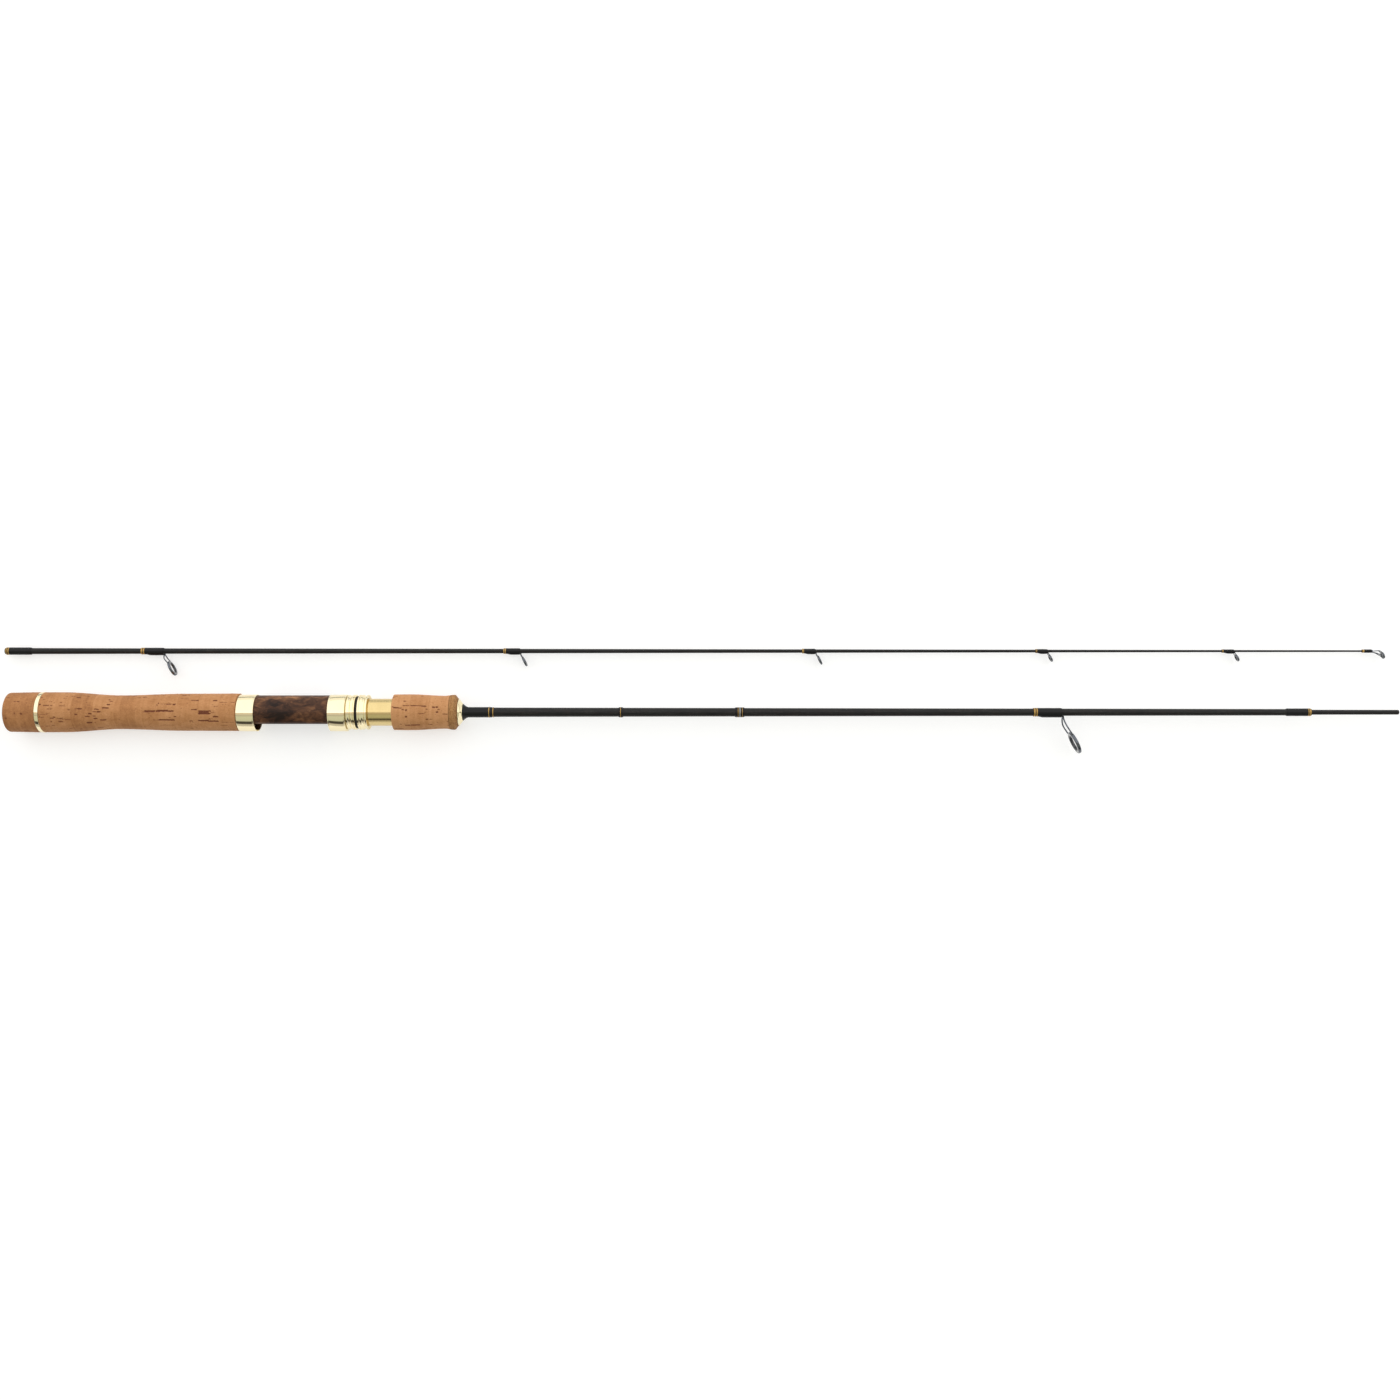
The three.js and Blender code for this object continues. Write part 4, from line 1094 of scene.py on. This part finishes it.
class Guide:
    """The sizes of one single-foot guide as in the CAD model, its foot ground thinner.

    start and end are its wrap's. The ring lies reach in front of the wrap and drop below the axis.
    """

    def __init__(self, name, start, end, reach, drop, ring, bezel, insert, depth, wire, foot, bow,
                 gold):
        self.name, self.start, self.end = name, start, end
        self.outer, self.bezel, self.insert, self.half = ring / 2, bezel, insert, depth / 2
        self.wire, self.foot, self.bow, self.gold = wire, (foot[0], foot[1] * FOOT_SLIM), bow, gold
        self.cx = end + reach
        self.cy = self.outer * math.cos(math.radians(RAKE)) - drop
        self.foot_start = start + 5 * min(1, (end - start) / 16)


GUIDES = [
    Guide("stripper_guide", 704.4, 724.2, 8.8, 28.2, 16.2, 1.15, 1.35, 2.2, 0.55, (1.9, 0.6), 1.8, 2.6),
    Guide("guide_1", 87.3, 103.0, 5.6, 16.9, 11, 0.85, 0.95, 1.7, 0.42, (1.5, 0.5), 1.2, 2.4),
    Guide("guide_2", 338.6, 350.2, 3.1, 10.5, 7.2, 0.6, 0.75, 1.4, 0.34, (1.2, 0.45), 0.5, 1.7),
    Guide("guide_3", 545.8, 555.2, 2.9, 9.4, 6.9, 0.6, 0.7, 1.35, 0.33, (1.1, 0.42), 0.5, 1.2),
    Guide("guide_4", 707.8, 716.3, 2.0, 7.4, 5.7, 0.5, 0.65, 1.25, 0.3, (0.95, 0.4), 0.35, 0.9),
    Guide("guide_5", 837.2, 845.8, 2.0, 7.1, 5.3, 0.5, 0.6, 1.2, 0.3, (0.85, 0.38), 0.35, 0.9),
]


def foot_wrap(guide, blank, origin):
    """The wrap over a guide's foot, swelling towards -Y, with a gold band in two parts."""
    x0, x1 = guide.start, guide.end
    bore = wrap_bore(blank, x0)
    radius = bore + 0.32
    swell = guide.foot[1] + 0.22
    segments = 64
    a = np.arange(segments) * TAU / segments
    low = random_of(guide.name).uniform(0, TAU)

    def ring(x, r):
        y, z = r * np.cos(a), r * np.sin(a)
        rise = float(smoothstep(guide.foot_start - 1.6, guide.foot_start + 1.6, x))
        push = 1 + swell * rise / bore * (0.25 + 0.75 * np.clip(-np.cos(a), 0, 1) ** 1.5)
        y = np.where(y < 0, y * push, y)
        return np.column_stack([np.full(segments, x), y, z])

    xs = np.linspace(x0, x1, 60)
    rings = [ring(x0, bore)]
    for x in xs:
        ease = thinning(x, x0, x1, 0.9, -0.5)
        lump = 0.015 * math.sin(low + 0.9 * x) * ease
        rings.append(ring(x, bore + 0.02 + (radius - bore) * ease + lump))
    rings += [ring(x, bore) for x in xs[::-1][:-1]]
    body = NODE_BODY[guide.name + "_wrap"]
    build(guide.name + "_wrap_thread", *lofted(rings), node=guide.name + "_wrap", origin=origin,
          sharp=50)
    edges = [x0 + 0.1 + share * guide.gold for share in (0, 0.42, 0.64, 1)]
    band(guide.name + "_gold_rear", edges[0], edges[1], radius, origin, body)
    band(guide.name + "_gold_front", edges[2], edges[3], radius, origin, body)


def guide_frame(guide, blank, origin, voxel):
    """A foot, two bowed legs and the bezel that holds the ceramic ring, as one piece of metal."""
    seat = wrap_bore(blank, guide.start)
    width, thick = guide.foot
    foot_end = guide.end + 2.2 * guide.wire
    middle = -seat - thick / 2
    toe = guide.foot_start + 1.7
    foot = swept(
        [(toe, middle + 0.1, 0), (toe + 1.2, middle, 0), (guide.end, middle, 0), (foot_end, middle, 0)],
        [thick * 0.25, thick * 0.5, thick * 0.5, guide.wire * 0.9],
        [width * 0.3, width * 0.5, width * 0.5, width * 0.5], 12, 20)
    turn = math.radians(RAKE)
    rim = guide.outer - guide.bezel / 2
    attach = math.radians(42)
    up, out = rim * math.cos(attach), rim * math.sin(attach)
    legs = []
    for side in (-1, 1):
        start = np.array([foot_end - guide.wire, middle, side * width * 0.22])
        stop = np.array([guide.cx - up * math.sin(turn), guide.cy + up * math.cos(turn), side * out])
        path = [start]
        for t, back, wide in ((0.22, 0.55, 0.62), (0.5, 0.75, 1.12), (0.8, 0.3, 1.2)):
            point = start + t * (stop - start)
            point[0] -= guide.bow * back
            point[2] = side * out * wide
            path.append(point)
        path.append(stop)
        w = guide.wire
        legs.append(swept(path, [w * 1.05, w, w * 0.95, w * 0.95, w * 0.95],
                          [w * 1.25, w * 1.1, w, w, w], 12, 32))
    bore = guide.outer - guide.bezel
    h = guide.half * 0.85
    lip = min(guide.bezel, h) * 0.45
    loop = [(-h, bore)] + arc(-h + lip, guide.outer - lip, lip, 180, 90, 5)
    loop += [(0, guide.outer + 0.02)] + arc(h - lip, guide.outer - lip, lip, 90, 0, 5) + [(h, bore)]
    bezel = raked(turned(loop, 72), RAKE, guide.cx, guide.cy)
    fused(guide.name + "_frame_metal", [foot, *legs, bezel], voxel, guide.name + "_frame", origin)


def ceramic(name, node, origin, outer, width, half, rake, cx, cy, lap):
    """A ceramic ring: smoothly rounded bore, and a thin flange that laps over each face of the bezel."""
    bore = outer - width
    loop = [(t * half, bore + width * 0.42 * abs(t) ** 2.6) for t in np.linspace(-1, 1, 21)]
    corner, inside = half * 0.1, half * 0.88
    loop += arc(half - corner, outer + lap - corner, corner, 0, 90, 4)
    loop += [(inside, outer + lap), (inside, outer), (-inside, outer), (-inside, outer + lap)]
    loop += arc(-half + corner, outer + lap - corner, corner, 90, 180, 4)
    build(name, *raked(turned(loop, 96), rake, cx, cy), node=node, origin=origin, sharp=45)


def fillet(guide, blank, origin):
    """The bead of epoxy where the legs leave the wrap."""
    seat = wrap_bore(blank, guide.end)
    width, thick = guide.foot
    x = guide.end
    top = -seat * 0.35
    low = -(seat + thick + 0.3)
    body = swept(
        [(x - 1.4, (top + low) / 2, 0), (x - 0.2, (top + low) / 2, 0),
         (x + guide.wire * 1.6, (top + low) / 2 + 0.1, 0), (x + guide.wire * 4.0, -seat * 0.75, 0)],
        [0.3, (top - low) / 2, (top - low) / 2 * 0.85, 0.12],
        [0.3, seat * 0.9, seat * 0.7, 0.15], 20, 28)
    build(guide.name + "_fillet", *body, origin=origin, material="epoxy", slot="black_thread",
          body=NODE_BODY[guide.name + "_wrap"], sharp=0)


for guide in GUIDES:
    stripper = guide.name == "stripper_guide"
    blank, origin = (BUTT_BLANK, BUTT) if stripper else (TIP_BLANK, TIP)
    voxel = 0.11 if stripper else max(0.05, guide.wire * 0.18)
    foot_wrap(guide, blank, origin)
    fillet(guide, blank, origin)
    guide_frame(guide, blank, origin, voxel)
    ceramic(guide.name + "_ring_ceramic", guide.name + "_ring", origin,
            guide.outer - guide.bezel - RING_PLAY, guide.insert, guide.half, RAKE, guide.cx, guide.cy,
            0.6 * guide.bezel)


TIP_WIRE = 0.3


def tip_top():
    """A tube on the blank's end, four wires from it to the bezel, the ceramic ring and the wrap."""
    rake, cx, cy = 18, 949.0, -3.0
    outer, bezel, insert, half = 2.4, 0.42, 0.62, 0.6
    tube0, tube1, tube_r = 936.6, 941.9, 0.95
    bore = wrap_bore(TIP_BLANK, tube0)
    tube = turned([(tube0, bore), (tube0, tube_r), (tube1 - 0.3, tube_r), (tube1, tube_r - 0.12),
                   (tube1, bore)], 40)
    rim = outer - bezel / 2
    turn = math.radians(rake)
    arms = ((38, (-0.15, 0.1, 0.15), (0.35, 0.75, 1.15)), (125, (-0.7, -1.2, -2.4), (0.35, 0.9, 1.6)))
    wires = []
    for side in (-1, 1):
        for degrees, ys, zs in arms:
            attach = math.radians(degrees)
            up, out = rim * math.cos(attach), rim * math.sin(attach)
            path = [(x, y, side * z) for x, y, z in zip((940.6, 943.6, 946.5), ys, zs)]
            path.append((cx - up * math.sin(turn), cy + up * math.cos(turn), side * out))
            wires.append(swept(path, [TIP_WIRE] * 4, [TIP_WIRE] * 4, 12, 28))
    h = half * 0.85
    hoop = raked(turned(rounded(-h, h, outer - bezel, outer, 0.15, 4), 64), rake, cx, cy)
    fused("tip_top_frame_metal", [tube, *wires, hoop], 0.05, "tip_top_frame", TIP)
    ceramic("tip_top_ring_ceramic", "tip_top_ring", TIP, outer - bezel - RING_PLAY, insert, half, rake,
            cx, cy, 0.5 * bezel)
    start, tube_hole = 934.4, 1.01
    near = wrap_bore(TIP_BLANK, start)
    skin = [(start + t * 2.6, near + 0.05 + (1.18 - near) * float(smoothstep(-0.2, 1, t)))
            for t in np.linspace(0, 1, 14)]
    skin += [(x, 1.2 + 0.02 * math.sin(3 * x)) for x in np.linspace(937.3, 940.5, 14)]
    skin += [(940.5 + 0.7 * t, 1.2 - 0.17 * t * t) for t in np.linspace(0.15, 1, 6)]
    step = tube0 - 0.15
    loop = [(start, near)] + skin + [(941.2, tube_hole), (step, tube_hole), (step, near)]
    build("tip_top_wrap_thread", *turned(loop, THIN_SEGMENTS), node="tip_top_wrap", origin=TIP,
          sharp=50)
    band("tip_top_gold", 934.6, 935.9, near + 0.33, TIP, "tip_section", thickness=0.12)


tip_top()

# ------------------------------------------------------------------ studio


def floor_material():
    """Pale paper, lit a little from within so that it stays even."""
    g = Graph("floor_paper")
    fine = g.noise(g.scaled(60, 60, 60), 2, 0.5)
    g.shader.inputs["Emission Color"].default_value = (1, 1, 1, 1)
    g.shader.inputs["Emission Strength"].default_value = 0.56
    return g.set(base=(0.5, 0.5, 0.5, 1), rough=g.remap(fine, 0.9 * 0.95, 0.9))


def paper_floor():
    mesh = bpy.data.meshes.new("floor")
    half = 14.0  # metres
    corners = [(-half, -half, 0), (half, -half, 0), (half, half, 0), (-half, half, 0)]
    mesh.from_pydata(corners, [], [(0, 1, 2, 3)])
    floor = bpy.data.objects.new("floor", mesh)
    floor.data.materials.append(floor_material())
    bpy.context.scene.collection.objects.link(floor)


def studio_light():
    """Soft light that changes only round the rod's axis. The camera itself sees plain white."""
    world = bpy.data.worlds.new("studio")
    bpy.context.scene.world = world
    world.use_nodes = True
    tree = world.node_tree
    tree.nodes.clear()
    add, link = tree.nodes.new, tree.links.new

    def worked_out(operation, *values):
        node = add("ShaderNodeMath")
        node.operation = operation
        for socket, value in zip(node.inputs, values):
            if isinstance(value, bpy.types.NodeSocket):
                link(value, socket)
            else:
                socket.default_value = value
        return node.outputs[0]

    split = add("ShaderNodeSeparateXYZ")
    link(add("ShaderNodeTexCoord").outputs["Generated"], split.inputs[0])
    minus_y = worked_out("MULTIPLY", split.outputs["Y"], -1)
    angle = worked_out("ARCTAN2", minus_y, split.outputs["Z"])
    ramp = add("ShaderNodeValToRGB")
    link(worked_out("MULTIPLY_ADD", angle, 1 / TAU, 0.5), ramp.inputs[0])
    # a softbox from the +Y side up to the zenith, its warm edge, then dimmer cards on the -Y side
    # with a dark gap between them; degrees from the zenith towards -Y, and radiance
    stops = [
        (-92, (1.0, 1.0, 1.0)), (-88, (1.42, 1.42, 1.42)), (-20, (1.45, 1.45, 1.45)),
        (-4, (1.6, 1.6, 1.6)), (-0.5, (1.6, 1.6, 1.6)), (0.6, (0.60, 0.47, 0.37)),
        (3, (0.60, 0.50, 0.40)), (5, (0.70, 0.67, 0.60)), (14, (0.68, 0.64, 0.57)),
        (16, (0.44, 0.43, 0.38)), (18, (0.48, 0.48, 0.42)), (21, (0.66, 0.70, 0.60)),
        (50, (0.62, 0.66, 0.56)), (54.5, (0.14, 0.13, 0.12)), (58, (0.06, 0.06, 0.05)),
        (70, (0.07, 0.06, 0.06)), (75, (0.60, 0.58, 0.54)), (92, (0.62, 0.62, 0.62)),
    ]
    brightest = 1.6
    elements = ramp.color_ramp.elements
    while len(elements) < len(stops):
        elements.new(0.5)
    for element, (degrees, value) in zip(elements, stops):
        element.position = degrees / 360 + 0.5
        element.color = tuple(v / brightest for v in value) + (1,)
    lit = add("ShaderNodeBackground")
    link(ramp.outputs[0], lit.inputs["Color"])
    lit.inputs["Strength"].default_value = brightest
    seen = add("ShaderNodeBackground")
    seen.inputs["Color"].default_value = (1.0, 1.0, 1.0, 1)
    choose = add("ShaderNodeMixShader")
    link(add("ShaderNodeLightPath").outputs["Is Camera Ray"], choose.inputs[0])
    link(lit.outputs[0], choose.inputs[1])
    link(seen.outputs[0], choose.inputs[2])
    link(choose.outputs[0], add("ShaderNodeOutputWorld").inputs["Surface"])
    bpy.context.scene.view_settings.view_transform = "Standard"


def camera():
    """Straight above the middle of the rod, looking down."""
    data = bpy.data.cameras.new("camera")
    data.sensor_width = 36
    data.lens = 38.57
    data.clip_start = 0.01
    data.clip_end = 100
    view = bpy.data.objects.new("camera", data)
    view.location = (0, 0, CAMERA_HEIGHT)
    bpy.context.scene.collection.objects.link(view)
    bpy.context.scene.camera = view


paper_floor()
studio_light()
camera()
